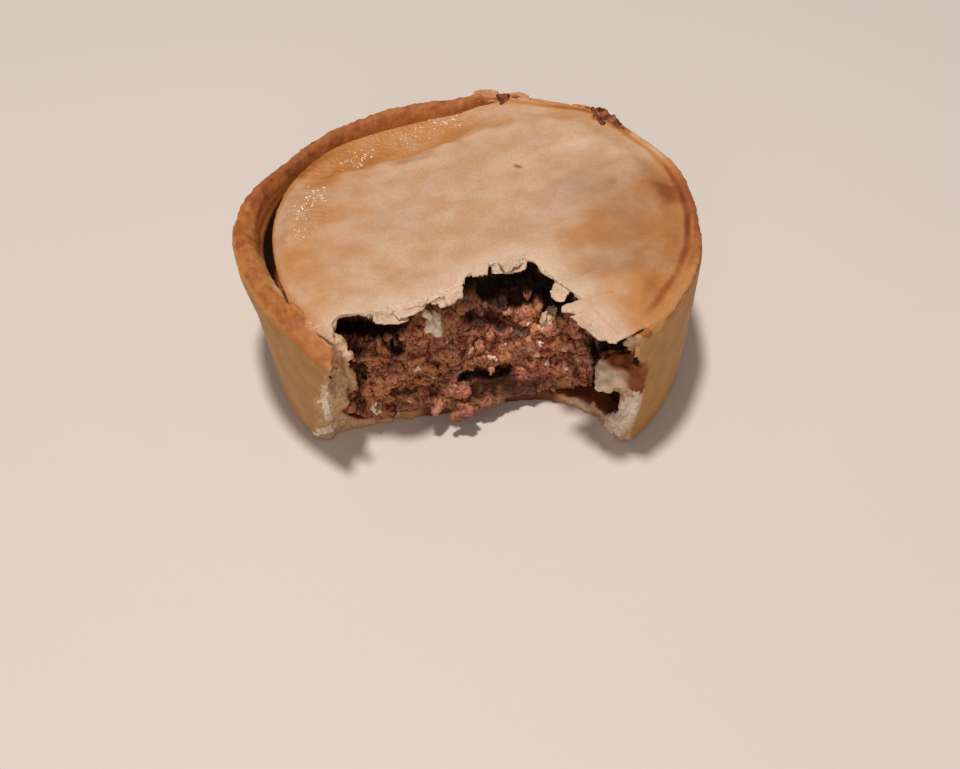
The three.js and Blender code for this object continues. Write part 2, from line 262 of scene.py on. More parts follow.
@dataclass(frozen=True)
class Dab:
    """A soft oval of colour on the plan: middle, half sizes, turn in degrees and strength."""

    at: Spot
    radii: Spot
    turn: float = 0
    heat: float = 1

    def over(self, points: np.ndarray) -> np.ndarray:
        """Gives its strength at each of these points."""
        c, s = math.cos(math.radians(self.turn)), math.sin(math.radians(self.turn))
        x, y = points[:, 0] - self.at[0], points[:, 1] - self.at[1]
        along, across = (c * x + s * y) / self.radii[0], (c * y - s * x) / self.radii[1]
        return self.heat * np.exp(-(along**2) - across**2)


@dataclass(frozen=True)
class Bulge:
    """A smooth hump round the pie: its angle, how far it takes to fade, in degrees, and its strength."""

    centre: float
    spread: float
    strength: float = 1

    def over(self, angles: np.ndarray) -> np.ndarray:
        """Gives its strength at each of these angles."""
        turn = (angles - self.centre + 180) % 360 - 180
        return self.strength * np.exp(-((turn / self.spread) ** 2))


class Bench:
    """Hand tools that act on one piece at a time."""

    @staticmethod
    def pick(*pieces: bpy.types.Object) -> None:
        """Selects these pieces alone and makes the first active."""
        bpy.ops.object.select_all(action="DESELECT")
        for piece in pieces:
            piece.select_set(True)
        bpy.context.view_layer.objects.active = pieces[0]

    @staticmethod
    def new(name: str, mesh: bpy.types.Mesh) -> bpy.types.Object:
        """Puts a mesh into the scene as a piece.

        Args:
            name: The piece's name.
            mesh: Its shape, in metres.

        Returns:
            The new piece, at the origin.
        """
        mesh.name = name
        piece = bpy.data.objects.new(name, mesh)
        bpy.context.scene.collection.objects.link(piece)
        return piece

    @staticmethod
    def copy_of(node: str, name: str) -> bpy.types.Object:
        """Copies a solid's mesh into a new piece and merges its loose triangles.

        Args:
            node: Name of the solid.
            name: Name of the piece.

        Returns:
            The new piece.
        """
        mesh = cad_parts[node].data.copy()
        mesh.materials.clear()
        piece = Bench.new(name, mesh)
        Bench.pick(piece)
        bpy.ops.object.mode_set(mode="EDIT")
        bpy.ops.mesh.select_all(action="SELECT")
        bpy.ops.mesh.remove_doubles(threshold=0.001 * MM)
        bpy.ops.object.mode_set(mode="OBJECT")
        return piece

    @staticmethod
    def join(pieces: list[bpy.types.Object], name: str) -> bpy.types.Object:
        """Makes several pieces one.

        Args:
            pieces: What is joined.
            name: Name of the whole.

        Returns:
            The whole, which is the first piece.
        """
        Bench.pick(*pieces)
        bpy.ops.object.join()
        pieces[0].name = name
        pieces[0].data.name = name
        return pieces[0]

    @staticmethod
    def work(piece: bpy.types.Object, kind: str, **settings: Any) -> None:
        """Adds a modifier and applies it.

        Args:
            piece: What it works on.
            kind: The modifier's type.
            **settings: Its values.
        """
        Bench.pick(piece)
        modifier = piece.modifiers.new(kind, kind)
        for name, value in settings.items():
            setattr(modifier, name, value)
        bpy.ops.object.modifier_apply(modifier=modifier.name)

    @staticmethod
    def remesh(piece: bpy.types.Object, voxel: float) -> None:
        """Rebuilds a piece as an even skin with cells of this size in millimetres."""
        Bench.work(piece, "REMESH", mode="VOXEL", voxel_size=voxel * MM)

    @staticmethod
    def roughen(
        piece: bpy.types.Object, grain: float, height: float, group: str = "", depth: int = 2
    ) -> None:
        """Raises cloudy relief along the normals.

        Args:
            piece: What is roughened.
            grain: Size of the relief in millimetres.
            height: Its height from lowest to highest, in millimetres.
            group: Vertex group that holds it to a part of the piece.
            depth: Octaves of finer relief.
        """
        clouds = bpy.data.textures.new(f"{piece.name}_{grain}", "CLOUDS")
        clouds.noise_basis = "IMPROVED_PERLIN"
        clouds.noise_scale = grain * MM
        clouds.noise_depth = depth
        Bench.work(
            piece, "DISPLACE", texture=clouds, texture_coords="LOCAL", strength=height * MM,
            mid_level=0.5, vertex_group=group,
        )

    @staticmethod
    def places(piece: bpy.types.Object) -> np.ndarray:
        """Gives the points of a piece in millimetres, one row each."""
        flat = np.empty(3 * len(piece.data.vertices), np.float32)
        piece.data.vertices.foreach_get("co", flat)
        return flat.reshape(-1, 3).astype(float) / MM

    @staticmethod
    def facing(piece: bpy.types.Object) -> np.ndarray:
        """Gives the normals of a piece's points, one row each."""
        flat = np.empty(3 * len(piece.data.vertices), np.float32)
        piece.data.vertex_normals.foreach_get("vector", flat)
        return flat.reshape(-1, 3).astype(float)

    @staticmethod
    def lay(piece: bpy.types.Object, places: np.ndarray) -> None:
        """Moves the points of a piece to places in millimetres."""
        piece.data.vertices.foreach_set("co", (places * MM).astype(np.float32).ravel())
        piece.data.update()

    @staticmethod
    def raise_by(piece: bpy.types.Object, heights: np.ndarray) -> None:
        """Moves each point along its normal by a height in millimetres."""
        Bench.lay(piece, Bench.places(piece) + heights[:, None] * Bench.facing(piece))

    @staticmethod
    def blur(piece: bpy.types.Object, values: np.ndarray, rounds: int) -> np.ndarray:
        """Spreads values over a piece's skin, each point towards its neighbours' mean.

        Args:
            piece: Whose edges carry the values.
            values: One value or row for each point.
            rounds: How often they are spread.

        Returns:
            The values after that.
        """
        ends = np.empty(2 * len(piece.data.edges), np.int32)
        piece.data.edges.foreach_get("vertices", ends)
        a, b = ends.reshape(-1, 2).T
        count = len(piece.data.vertices)
        links = np.maximum(1, np.bincount(a, minlength=count) + np.bincount(b, minlength=count))
        columns = values.reshape(count, -1).astype(float).T.copy()
        for _ in range(rounds):
            for i, column in enumerate(columns):
                gathered = np.bincount(a, column[b], count) + np.bincount(b, column[a], count)
                columns[i] = 0.5 * column + 0.5 * gathered / links
        return columns.T.reshape(values.shape)

    @staticmethod
    def weigh(piece: bpy.types.Object, name: str, values: np.ndarray) -> str:
        """Makes a vertex group.

        Args:
            piece: Whose points are weighed.
            name: The group's name.
            values: One weight for each point.

        Returns:
            The group's name.
        """
        old = piece.vertex_groups.get(name)
        if old:
            piece.vertex_groups.remove(old)
        group = piece.vertex_groups.new(name=name)
        steps = np.round(np.clip(values, 0, 1) * 50).astype(int)
        for step in np.unique(steps[steps > 0]):
            group.add(np.flatnonzero(steps == step).tolist(), step / 50, "REPLACE")
        return name

    @staticmethod
    def paint(piece: bpy.types.Object, masks: dict[Mask, np.ndarray]) -> None:
        """Writes masks on the points of a piece for its finish to read."""
        piece.vertex_groups.clear()
        for mask, values in masks.items():
            layer = piece.data.attributes.new(mask.value, "FLOAT", "POINT")
            layer.data.foreach_set("value", np.clip(values, 0, 1).astype(np.float32))

    @staticmethod
    def hand_in(piece: bpy.types.Object, material: bpy.types.Material, slot: Slot, *nodes: str) -> None:
        """Flattens a piece where it rests, dresses it, joins it to the pie and reports it.

        Args:
            piece: The finished piece.
            material: Its finish.
            slot: The record's slot for it; not used.
            *nodes: The solids that it stands for.
        """
        places = Bench.places(piece)
        places[:, 2] = np.maximum(places[:, 2], 0)
        Bench.lay(piece, places)
        piece.data.materials.clear()
        piece.data.materials.append(material)
        Bench.pick(piece)
        bpy.ops.object.shade_smooth()
        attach(piece, "root")
        if nodes:
            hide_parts(*nodes)
        triangles = sum(len(face.vertices) - 2 for face in piece.data.polygons)
        LOG.info("%s: %d triangles", piece.name, triangles)


class Skin:
    """The points of a piece as they lie, with their normals and their places round the pie."""

    def __init__(self, piece: bpy.types.Object) -> None:
        """Reads the points of this piece, in millimetres and degrees."""
        self.places, self.normals = Bench.places(piece), Bench.facing(piece)
        self.angle, self.radius = polar(self.places)
        self.height = self.places[:, 2]
        self.rise = self.normals[:, 2]
        self.outward = (self.places[:, :2] * self.normals[:, :2]).sum(axis=1) / np.maximum(self.radius, 1)


class Graph:
    """Adds nodes to one shader tree and joins them."""

    def __init__(self, tree: bpy.types.NodeTree) -> None:
        """Works on this tree."""
        self.tree = tree

    def node(self, kind: str, inputs: dict[Any, Any] | None = None, **settings: Any) -> bpy.types.Node:
        """Adds a node.

        Args:
            kind: Its type.
            inputs: Values or other nodes' sockets for its inputs.
            **settings: Its own settings.

        Returns:
            The node.
        """
        node = self.tree.nodes.new(kind)
        for name, value in settings.items():
            setattr(node, name, value)
        for name, value in (inputs or {}).items():
            self.feed(node.inputs[name], value)
        return node

    def feed(self, socket: bpy.types.NodeSocket, value: Any) -> None:
        """Links another node's socket into this one, or sets its value."""
        if isinstance(value, bpy.types.NodeSocket):
            self.tree.links.new(value, socket)
        else:
            socket.default_value = value

    def mix(self, share: Any, first: Any, second: Any) -> bpy.types.NodeSocket:
        """Mixes two colours.

        Args:
            share: How much of the second shows.
            first: Colour or socket.
            second: Colour or socket.

        Returns:
            The mixed colour.
        """
        node = self.node("ShaderNodeMix", {0: share, 6: first, 7: second}, data_type="RGBA")
        return node.outputs[2]

    def math(self, work: str, *values: Any) -> bpy.types.NodeSocket:
        """Works out one value from others."""
        return self.node("ShaderNodeMath", dict(enumerate(values)), operation=work).outputs[0]

    def ease(self, value: Any, low: float, high: float, top: float = 1) -> bpy.types.NodeSocket:
        """Eases a value from 0 at low to top at high.

        Args:
            value: What is eased.
            low: Where the result is 0.
            high: Where the result is top.
            top: The highest result.

        Returns:
            The eased value.
        """
        node = self.node(
            "ShaderNodeMapRange", {"Value": value, 1: low, 2: high, 3: 0.0, 4: top},
            interpolation_type="SMOOTHSTEP",
        )
        return node.outputs[0]

    def mask(self, mask: Mask) -> bpy.types.NodeSocket:
        """Reads a mask painted on the piece."""
        return self.node("ShaderNodeAttribute", attribute_name=mask.value).outputs["Fac"]


def crumb_grain() -> bpy.types.NodeTree:
    """Builds the group that every baked and minced surface shares.

    Returns:
        A group with inputs Blotch and Grain, both sizes in millimetres, and outputs Mottle,
        Speckle, Blister and Height.
    """
    tree = bpy.data.node_groups.new("crumb_grain", "ShaderNodeTree")
    for name, size in (("Blotch", 8.0), ("Grain", 0.6)):
        tree.interface.new_socket(name, in_out="INPUT", socket_type="NodeSocketFloat").default_value = size
    for name in ("Mottle", "Speckle", "Blister", "Height"):
        tree.interface.new_socket(name, in_out="OUTPUT", socket_type="NodeSocketFloat")
    graph = Graph(tree)
    given = graph.node("NodeGroupInput")
    where = graph.node("ShaderNodeTexCoord").outputs["Object"]
    scales = [graph.math("DIVIDE", 1 / MM, given.outputs[i]) for i in (0, 1)]
    mottle = graph.node("ShaderNodeTexNoise", {"Vector": where, "Scale": scales[0], "Detail": 4.0})
    speckle = graph.node(
        "ShaderNodeTexNoise", {"Vector": where, "Scale": scales[1], "Detail": 3.0, "Roughness": 0.65}
    )
    pores = graph.node("ShaderNodeTexVoronoi", {"Vector": where, "Scale": scales[1]})
    wide = graph.math("MULTIPLY", scales[1], 0.5)
    blister = graph.node("ShaderNodeTexNoise", {"Vector": where, "Scale": wide, "Detail": 2.0})
    height = graph.math("MULTIPLY_ADD", pores.outputs["Distance"], 0.35, speckle.outputs["Fac"])
    out = graph.node("NodeGroupOutput")
    graph.feed(out.inputs["Mottle"], mottle.outputs["Fac"])
    graph.feed(out.inputs["Speckle"], speckle.outputs["Fac"])
    graph.feed(out.inputs["Blister"], blister.outputs["Fac"])
    graph.feed(out.inputs["Height"], height)
    return tree


def rgb(red: int, green: int, blue: int) -> Colour:
    """Turns a colour as seen, from 0 to 255, into the linear values that a shader takes."""
    shares = [value / 255 for value in (red, green, blue)]
    linear = [c / 12.92 if c <= 0.04045 else ((c + 0.055) / 1.055) ** 2.4 for c in shares]
    return linear[0], linear[1], linear[2], 1.0


@dataclass(frozen=True)
class Finish:
    """What every finish shares: the crumb grain at its own sizes, and one shader."""

    name: str
    blotch: float = 6.0
    grain: float = 0.7
    roughness: float = 0.62
    relief: float = 0.35
    relief_depth: float = 0.25

    def material(self, group: bpy.types.NodeTree) -> bpy.types.Material:
        """Builds the finish.

        Args:
            group: The shared crumb grain.

        Returns:
            The material.
        """
        material = bpy.data.materials.new(self.name)
        material.use_nodes = True
        material.node_tree.nodes.clear()
        graph = Graph(material.node_tree)
        grain = graph.node("ShaderNodeGroup", node_tree=group)
        graph.feed(grain.inputs["Blotch"], self.blotch)
        graph.feed(grain.inputs["Grain"], self.grain)
        inputs = self.surface(graph, grain)
        height = inputs.pop("Height", grain.outputs["Height"])
        depth = self.relief_depth * MM
        bump = graph.node("ShaderNodeBump", {"Height": height, "Strength": self.relief, "Distance": depth})
        shader = graph.node("ShaderNodeBsdfPrincipled", {"Normal": bump.outputs[0], **inputs})
        out = graph.node("ShaderNodeOutputMaterial")
        graph.feed(out.inputs["Surface"], shader.outputs[0])
        return material

    def surface(self, graph: Graph, grain: bpy.types.Node) -> dict[str, Any]:
        """Works out what the shader is fed.

        Args:
            graph: The material's nodes.
            grain: The crumb grain in it.

        Returns:
            Values or sockets for the shader's inputs, and Height for its relief.
        """
        raise NotImplementedError


@dataclass(frozen=True)
class PastryFinish(Finish):
    """Baked crust, from pale to toasted and burnt, with a pale crumb where it is torn; its toasted, burnt
    and darkened colours also carry painted shade.
    """

    pale: Colour = rgb(214, 177, 145)
    tan: Colour = rgb(204, 161, 122)
    golden: Colour = rgb(194, 128, 74)
    toasted: Colour = rgb(158, 88, 40)
    dark: Colour = rgb(92, 43, 20)
    burnt: Colour = rgb(38, 17, 10)
    crumb: Colour = rgb(230, 200, 168)
    crumb_shade: Colour = rgb(198, 158, 120)
    mauve: Colour = rgb(188, 154, 138)
    bleached: Colour = rgb(244, 226, 208)
    greasy: float = 0.2
    fleck: float = 0.36

    def surface(self, graph: Graph, grain: bpy.types.Node) -> dict[str, Any]:
        """Mixes the crust's colours by its masks.

        Args:
            graph: The material's nodes.
            grain: The crumb grain in it.

        Returns:
            Values or sockets for the shader's inputs.
        """
        mottle, speckle = grain.outputs["Mottle"], grain.outputs["Speckle"]
        colour = graph.mix(graph.ease(mottle, 0.35, 0.65), self.pale, self.tan)
        heat = graph.math("MULTIPLY_ADD", mottle, 0.25, graph.mask(Mask.TOAST))
        heat = graph.math("MULTIPLY_ADD", speckle, 0.25, heat)
        heat = graph.math("SUBTRACT", heat, 0.25)
        colour = graph.mix(graph.ease(heat, 0.08, 0.45), colour, self.golden)
        colour = graph.mix(graph.ease(heat, 0.4, 0.75), colour, self.toasted)
        colour = graph.mix(graph.ease(heat, 0.72, 1.1), colour, self.dark)
        colour = graph.mix(graph.mask(Mask.MAUVE), colour, self.mauve)
        crumb = graph.mix(graph.ease(speckle, 0.3, 0.6), self.crumb_shade, self.crumb)
        colour = graph.mix(graph.mask(Mask.TORN), colour, crumb)
        colour = graph.mix(graph.mask(Mask.PALE_AND_PAINTED_LIGHT), colour, self.bleached)
        shade = graph.math("MULTIPLY_ADD", speckle, self.fleck, 1 - self.fleck / 2)
        # Painted shade: darkens the crust by up to a quarter where the tone-and-shade mask is painted, over
        # the lid's right side.
        shade = graph.math("MULTIPLY", shade, graph.math("MULTIPLY_ADD", graph.mask(Mask.TONE_AND_SHADE), -0.25, 1.0))
        colour = graph.node("ShaderNodeHueSaturation", {"Value": shade, "Color": colour}).outputs[0]
        # The burnt colour also carries painted shade where this mask is painted as shade.
        burn_and_shade = graph.math("MULTIPLY_ADD", speckle, 0.5, graph.mask(Mask.BURN))
        colour = graph.mix(graph.ease(burn_and_shade, 0.55, 0.85), colour, self.burnt)
        grease = graph.mask(Mask.GREASE)
        dull = graph.math("MULTIPLY_ADD", speckle, 0.25, self.roughness - 0.125)
        rough = graph.node("ShaderNodeMix", {0: grease, 2: dull, 3: self.greasy}).outputs[0]
        blister = graph.math("MULTIPLY", grain.outputs["Blister"], graph.math("MULTIPLY", grease, 4.0))
        return {
            "Base Color": colour,
            "Roughness": rough,
            "Specular IOR Level": 0.35,
            "Height": graph.math("ADD", grain.outputs["Height"], blister),
        }


@dataclass(frozen=True)
class MinceFinish(Finish):
    """Moist cooked mince: each crumb has its own brown, pink or grey, with painted shade in the clefts and
    painted light on the left and right of the bitten face.
    """

    blotch: float = 3.0
    grain: float = 0.5
    roughness: float = 0.45
    relief: float = 0.6
    brown: Colour = rgb(184, 116, 78)
    tan: Colour = rgb(182, 124, 84)
    pink: Colour = rgb(182, 114, 94)
    pale: Colour = rgb(216, 172, 148)
    red: Colour = rgb(150, 62, 50)
    # The near black that painted shade darkens the mince towards.
    deep: Colour = rgb(10, 4, 2)

    def surface(self, graph: Graph, grain: bpy.types.Node) -> dict[str, Any]:
        """Mixes the crumbs' colours by their tones, brightens the left and right of the face with painted
        light and darkens the clefts with painted shade.

        Args:
            graph: The material's nodes.
            grain: The crumb grain in it.

        Returns:
            Values or sockets for the shader's inputs.
        """
        mottle, speckle = grain.outputs["Mottle"], grain.outputs["Speckle"]
        tone = graph.mask(Mask.TONE_AND_SHADE)
        colour = graph.mix(graph.ease(tone, 0.1, 0.4), self.brown, self.tan)
        colour = graph.mix(graph.ease(tone, 0.4, 0.65), colour, self.pink)
        colour = graph.mix(graph.ease(tone, 0.8, 0.95), colour, self.pale)
        colour = graph.mix(graph.ease(mottle, 0.5, 0.7, 0.4), colour, self.brown)
        colour = graph.mix(graph.ease(speckle, 0.55, 0.74, 0.55), colour, self.pale)
        shade = graph.math("MULTIPLY_ADD", speckle, 1.1, 0.5)
        # Painted light: brightens the mince by up to half again where the pale mask is painted.
        painted_light_gain = graph.math("MULTIPLY_ADD", graph.mask(Mask.PALE_AND_PAINTED_LIGHT), 0.5, 1.0)
        shade = graph.math("MULTIPLY", shade, painted_light_gain)
        colour = graph.node("ShaderNodeHueSaturation", {"Value": shade, "Color": colour}).outputs[0]
        colour = graph.mix(graph.mask(Mask.RED), colour, self.red)
        # Painted shade: clefts, hollows and gaps go towards the near-black colour.
        colour = graph.mix(graph.mask(Mask.PAINTED_SHADE), colour, self.deep)
        rough = graph.math("MULTIPLY_ADD", speckle, 0.4, self.roughness - 0.2)
        return {
            "Base Color": colour,
            "Roughness": graph.math("MULTIPLY_ADD", graph.mask(Mask.PAINTED_SHADE), 0.4, rough),
            "Specular IOR Level": 0.25,
        }


@dataclass(frozen=True)
class FatFinish(Finish):
    """Bits of white fat and gristle, waxy."""

    blotch: float = 1.4
    grain: float = 0.4
    roughness: float = 0.38
    white: Colour = rgb(252, 238, 218)
    cream: Colour = rgb(236, 210, 180)

    def surface(self, graph: Graph, grain: bpy.types.Node) -> dict[str, Any]:
        """Mixes white and cream.

        Args:
            graph: The material's nodes.
            grain: The crumb grain in it.

        Returns:
            Values or sockets for the shader's inputs.
        """
        colour = graph.mix(graph.ease(grain.outputs["Mottle"], 0.35, 0.65), self.white, self.cream)
        return {"Base Color": colour, "Roughness": self.roughness}


@dataclass(frozen=True)
class CrumbShape:
    """One uneven crumb, modelled once and copied."""

    points: np.ndarray
    faces: np.ndarray

    @staticmethod
    def model(rough: float, seed: int, facets: int = 2) -> "CrumbShape":
        """Models a crumb about 1 mm in radius.

        Args:
            rough: How uneven it is.
            seed: Picks its shape.
            facets: Fineness of the ball that it starts from.

        Returns:
            Its points and faces.
        """
        bpy.ops.object.select_all(action="DESELECT")
        bpy.ops.mesh.primitive_ico_sphere_add(subdivisions=facets, radius=1, location=(0, 0, 0))
        ball = bpy.context.active_object
        clouds = bpy.data.textures.new(f"crumb_{seed}", "CLOUDS")
        clouds.noise_scale = 0.9
        Bench.lay(ball, Bench.places(ball) + 10.0 * seed / MM)
        Bench.work(ball, "DISPLACE", texture=clouds, texture_coords="LOCAL", strength=rough, mid_level=0.5)
        points = Bench.places(ball) * MM - 10.0 * seed
        faces = np.array([list(face.vertices) for face in ball.data.polygons])
        bpy.data.objects.remove(ball, do_unlink=True)
        return CrumbShape(points, faces)


class Scatter:
    """Copies crumb shapes to many places as one mesh."""

    def __init__(self, seed: int, rough: float = 0.75, facets: int = 2) -> None:
        """Starts an empty scatter.

        Args:
            seed: Picks shapes and turns.
            rough: How uneven its crumbs are.
            facets: Fineness of the crumbs.
        """
        self.draw = np.random.default_rng(seed)
        self.shapes = [CrumbShape.model(rough, 3 * seed + i, facets) for i in range(1, 5)]
        self.points: list[np.ndarray] = []
        self.faces: list[np.ndarray] = []
        self.centres: list[np.ndarray] = []
        self.count = 0

    def turn(self, up: np.ndarray | None = None) -> np.ndarray:
        """Draws a random turn as a matrix.

        Args:
            up: Where its third axis points, if that is held.

        Returns:
            The matrix.
        """
        axes = self.draw.normal(size=(3, 3))
        if up is not None:
            axes[:, 0] = up
        q, _ = np.linalg.qr(axes)
        q = q * np.sign(np.linalg.det(q))
        return q[:, [1, 2, 0]]

    def add(self, at: np.ndarray, radii: Place, turn: np.ndarray | None = None) -> None:
        """Adds one crumb.

        Args:
            at: Its middle, in millimetres.
            radii: Its half sizes, in millimetres.
            turn: How it lies; drawn at random where none is given.
        """
        shape = self.shapes[self.draw.integers(len(self.shapes))]
        spin = self.turn() if turn is None else turn
        placed = (shape.points * np.array(radii)) @ spin.T + at
        self.points.append(placed)
        self.faces.append(shape.faces + self.count)
        self.centres.append(np.asarray(at, float))
        self.count += len(placed)

    def piece(self, name: str) -> bpy.types.Object:
        """Makes the crumbs one piece.

        Args:
            name: Its name.

        Returns:
            The piece.
        """
        mesh = bpy.data.meshes.new(name)
        mesh.from_pydata((np.vstack(self.points) * MM).tolist(), [], np.vstack(self.faces).tolist())
        mesh.update()
        return Bench.new(name, mesh)


@dataclass
class Studio:
    """The camera at the photograph's angle, a plain pale floor and soft light."""

    eye: Place = (0.6, -215.7, 199.9)
    tilt: float = 44.62
    roll: float = -0.4
    lens: float = 48.75
    sensor: float = 36.0
    picture: Spot = (960, 769)
    floor_colour: Colour = (0.80, 0.735, 0.69, 1.0)
    floor_half: float = 3.0
    warm: Place = (1.0, 0.92, 0.85)
    fill: float = 0.19
    key_at: Place = (-0.085, -0.03, 1.0)
    key_size: float = 0.11
    key_power: float = 6.9
    front_at: Place = (-0.1, -1.0, 0.55)
    front_size: float = 0.7
    front_power: float = 1.9

    def build(self) -> None:
        """Sets up the camera, the floor and the lights."""
        self.camera()
        self.floor()
        self.lights()
        bpy.context.scene.view_settings.view_transform = "Standard"

    def axes(self) -> tuple[Vector, Vector, Vector]:
        """Gives the camera's right, its top and the way back from what it sees."""
        tilt, roll = math.radians(self.tilt), math.radians(self.roll)
        back = Vector((0, -math.cos(tilt), math.sin(tilt)))
        across = Vector((1, 0, 0))
        up = back.cross(across)
        right = math.cos(roll) * across + math.sin(roll) * up
        top = -math.sin(roll) * across + math.cos(roll) * up
        return right, top, back

    def camera(self) -> None:
        """Places the camera as fitted to the photograph."""
        lens = bpy.data.cameras.new("camera")
        lens.lens = self.lens
        lens.sensor_width = self.sensor
        lens.clip_start = 0.01
        camera = bpy.data.objects.new("camera", lens)
        bpy.context.scene.collection.objects.link(camera)
        place = Matrix(self.axes()).transposed().to_4x4()
        place.translation = Vector(self.eye) * MM
        camera.matrix_world = place
        bpy.context.scene.camera = camera

    def sight(self, pixel: Spot) -> Vector:
        """Gives the way from the camera through a pixel of the picture.

        Args:
            pixel: Across and down from the picture's top left corner.

        Returns:
            The way, one unit long.
        """
        right, top, back = self.axes()
        across = (pixel[0] - self.picture[0] / 2) / self.picture[0] * self.sensor
        down = (pixel[1] - self.picture[1] / 2) / self.picture[0] * self.sensor
        return (across * right - down * top - self.lens * back).normalized()

    def seen(self, piece: bpy.types.Object, pixel: Spot) -> tuple[np.ndarray, np.ndarray] | None:
        """Finds the point of a piece that shows at a pixel of the picture.

        Args:
            piece: What is looked at.
            pixel: Across and down from the picture's top left corner.

        Returns:
            The point in millimetres and the normal there, or nothing where the piece isn't met.
        """
        met, place, normal, _ = piece.ray_cast(Vector(self.eye) * MM, self.sight(pixel))
        return (np.array(place) / MM, np.array(normal)) if met else None

    def nearest(self, pixel: Spot, *pieces: bpy.types.Object) -> tuple[np.ndarray, np.ndarray] | None:
        """Finds what shows at a pixel where several pieces may lie.

        Args:
            pixel: Across and down from the picture's top left corner.
            *pieces: What is looked at.

        Returns:
            The point nearest the camera and the normal there, or nothing.
        """
        found = [self.seen(piece, pixel) for piece in pieces]
        hits = [spot for spot in found if spot is not None]
        return min(hits, key=lambda spot: np.linalg.norm(spot[0] - np.array(self.eye))) if hits else None

    def at_height(self, pixel: Spot, height: float) -> np.ndarray:
        """Finds where the line of sight through a pixel comes down to a height in millimetres."""
        eye, way = np.array(self.eye), np.array(self.sight(pixel))
        return eye + way * (height - eye[2]) / way[2]

    def floor(self) -> None:
        """Lays a plain pale floor just under the base."""
        bpy.ops.object.select_all(action="DESELECT")
        bpy.ops.mesh.primitive_plane_add(size=2 * self.floor_half, location=(0, 0, -0.05 * MM))
        floor = bpy.context.active_object
        floor.name = "floor"
        bpy.ops.object.transform_apply(location=True, rotation=True, scale=True)
        material = bpy.data.materials.new("floor_pale")
        material.use_nodes = True
        shader = material.node_tree.nodes["Principled BSDF"]
        shader.inputs["Base Color"].default_value = self.floor_colour
        shader.inputs["Roughness"].default_value = 0.6
        floor.data.materials.append(material)

    def lights(self) -> None:
        """Hangs the main light high up and a weak broad one in front, in a plain soft room."""
        self.lamp("key", self.key_at, self.key_size, self.key_power)
        self.lamp("front", self.front_at, self.front_size, self.front_power)
        world = bpy.data.worlds.new("room")
        bpy.context.scene.world = world
        world.use_nodes = True
        room = world.node_tree.nodes["Background"]
        room.inputs["Color"].default_value = (*self.warm, 1.0)
        room.inputs["Strength"].default_value = self.fill

    def lamp(self, name: str, at: Place, size: float, power: float) -> None:
        """Hangs a round lamp that shines on the pie.

        Args:
            name: Its name.
            at: Where it hangs, in metres.
            size: How wide it is, in metres.
            power: Its strength in watts.
        """
        light = bpy.data.lights.new(name, "AREA")
        light.shape = "DISK"
        light.size = size
        light.energy = power
        light.color = self.warm
        lamp = bpy.data.objects.new(name, light)
        bpy.context.scene.collection.objects.link(lamp)
        lamp.location = at
        lamp.rotation_euler = (-Vector(at)).to_track_quat("-Z", "Y").to_euler()


@dataclass(frozen=True)
class Mark:
    """A soft stroke of colour or relief where the photograph shows it on a piece."""

    pixels: tuple[Spot, ...]
    width: float
    soft: float
    heat: float = 1

    def over(self, piece: bpy.types.Object, studio: Studio, places: np.ndarray) -> np.ndarray:
        """Gives its strength at points of the piece that carries it.

        Args:
            piece: What the mark is on.
            studio: Whose camera sees the pixels.
            places: The points, in millimetres.

        Returns:
            One value for each point.
        """
        found = [studio.seen(piece, pixel) for pixel in self.pixels]
        line = [tuple(spot[0]) for spot in found if spot is not None]
        if not line:
            return np.zeros(len(places))
        return self.heat * stroke(places, line + line[-1:], self.width, self.soft)

    @staticmethod
    def strongest(marks: tuple["Mark", ...], piece: bpy.types.Object, studio: Studio) -> np.ndarray:
        """Gives the strongest of several marks at each point of a piece.

        Args:
            marks: The marks.
            piece: What they are on.
            studio: Whose camera sees them.

        Returns:
            One value for each point.
        """
        bpy.context.view_layer.update()
        places = Bench.places(piece)
        return np.max([mark.over(piece, studio, places) for mark in marks], axis=0)


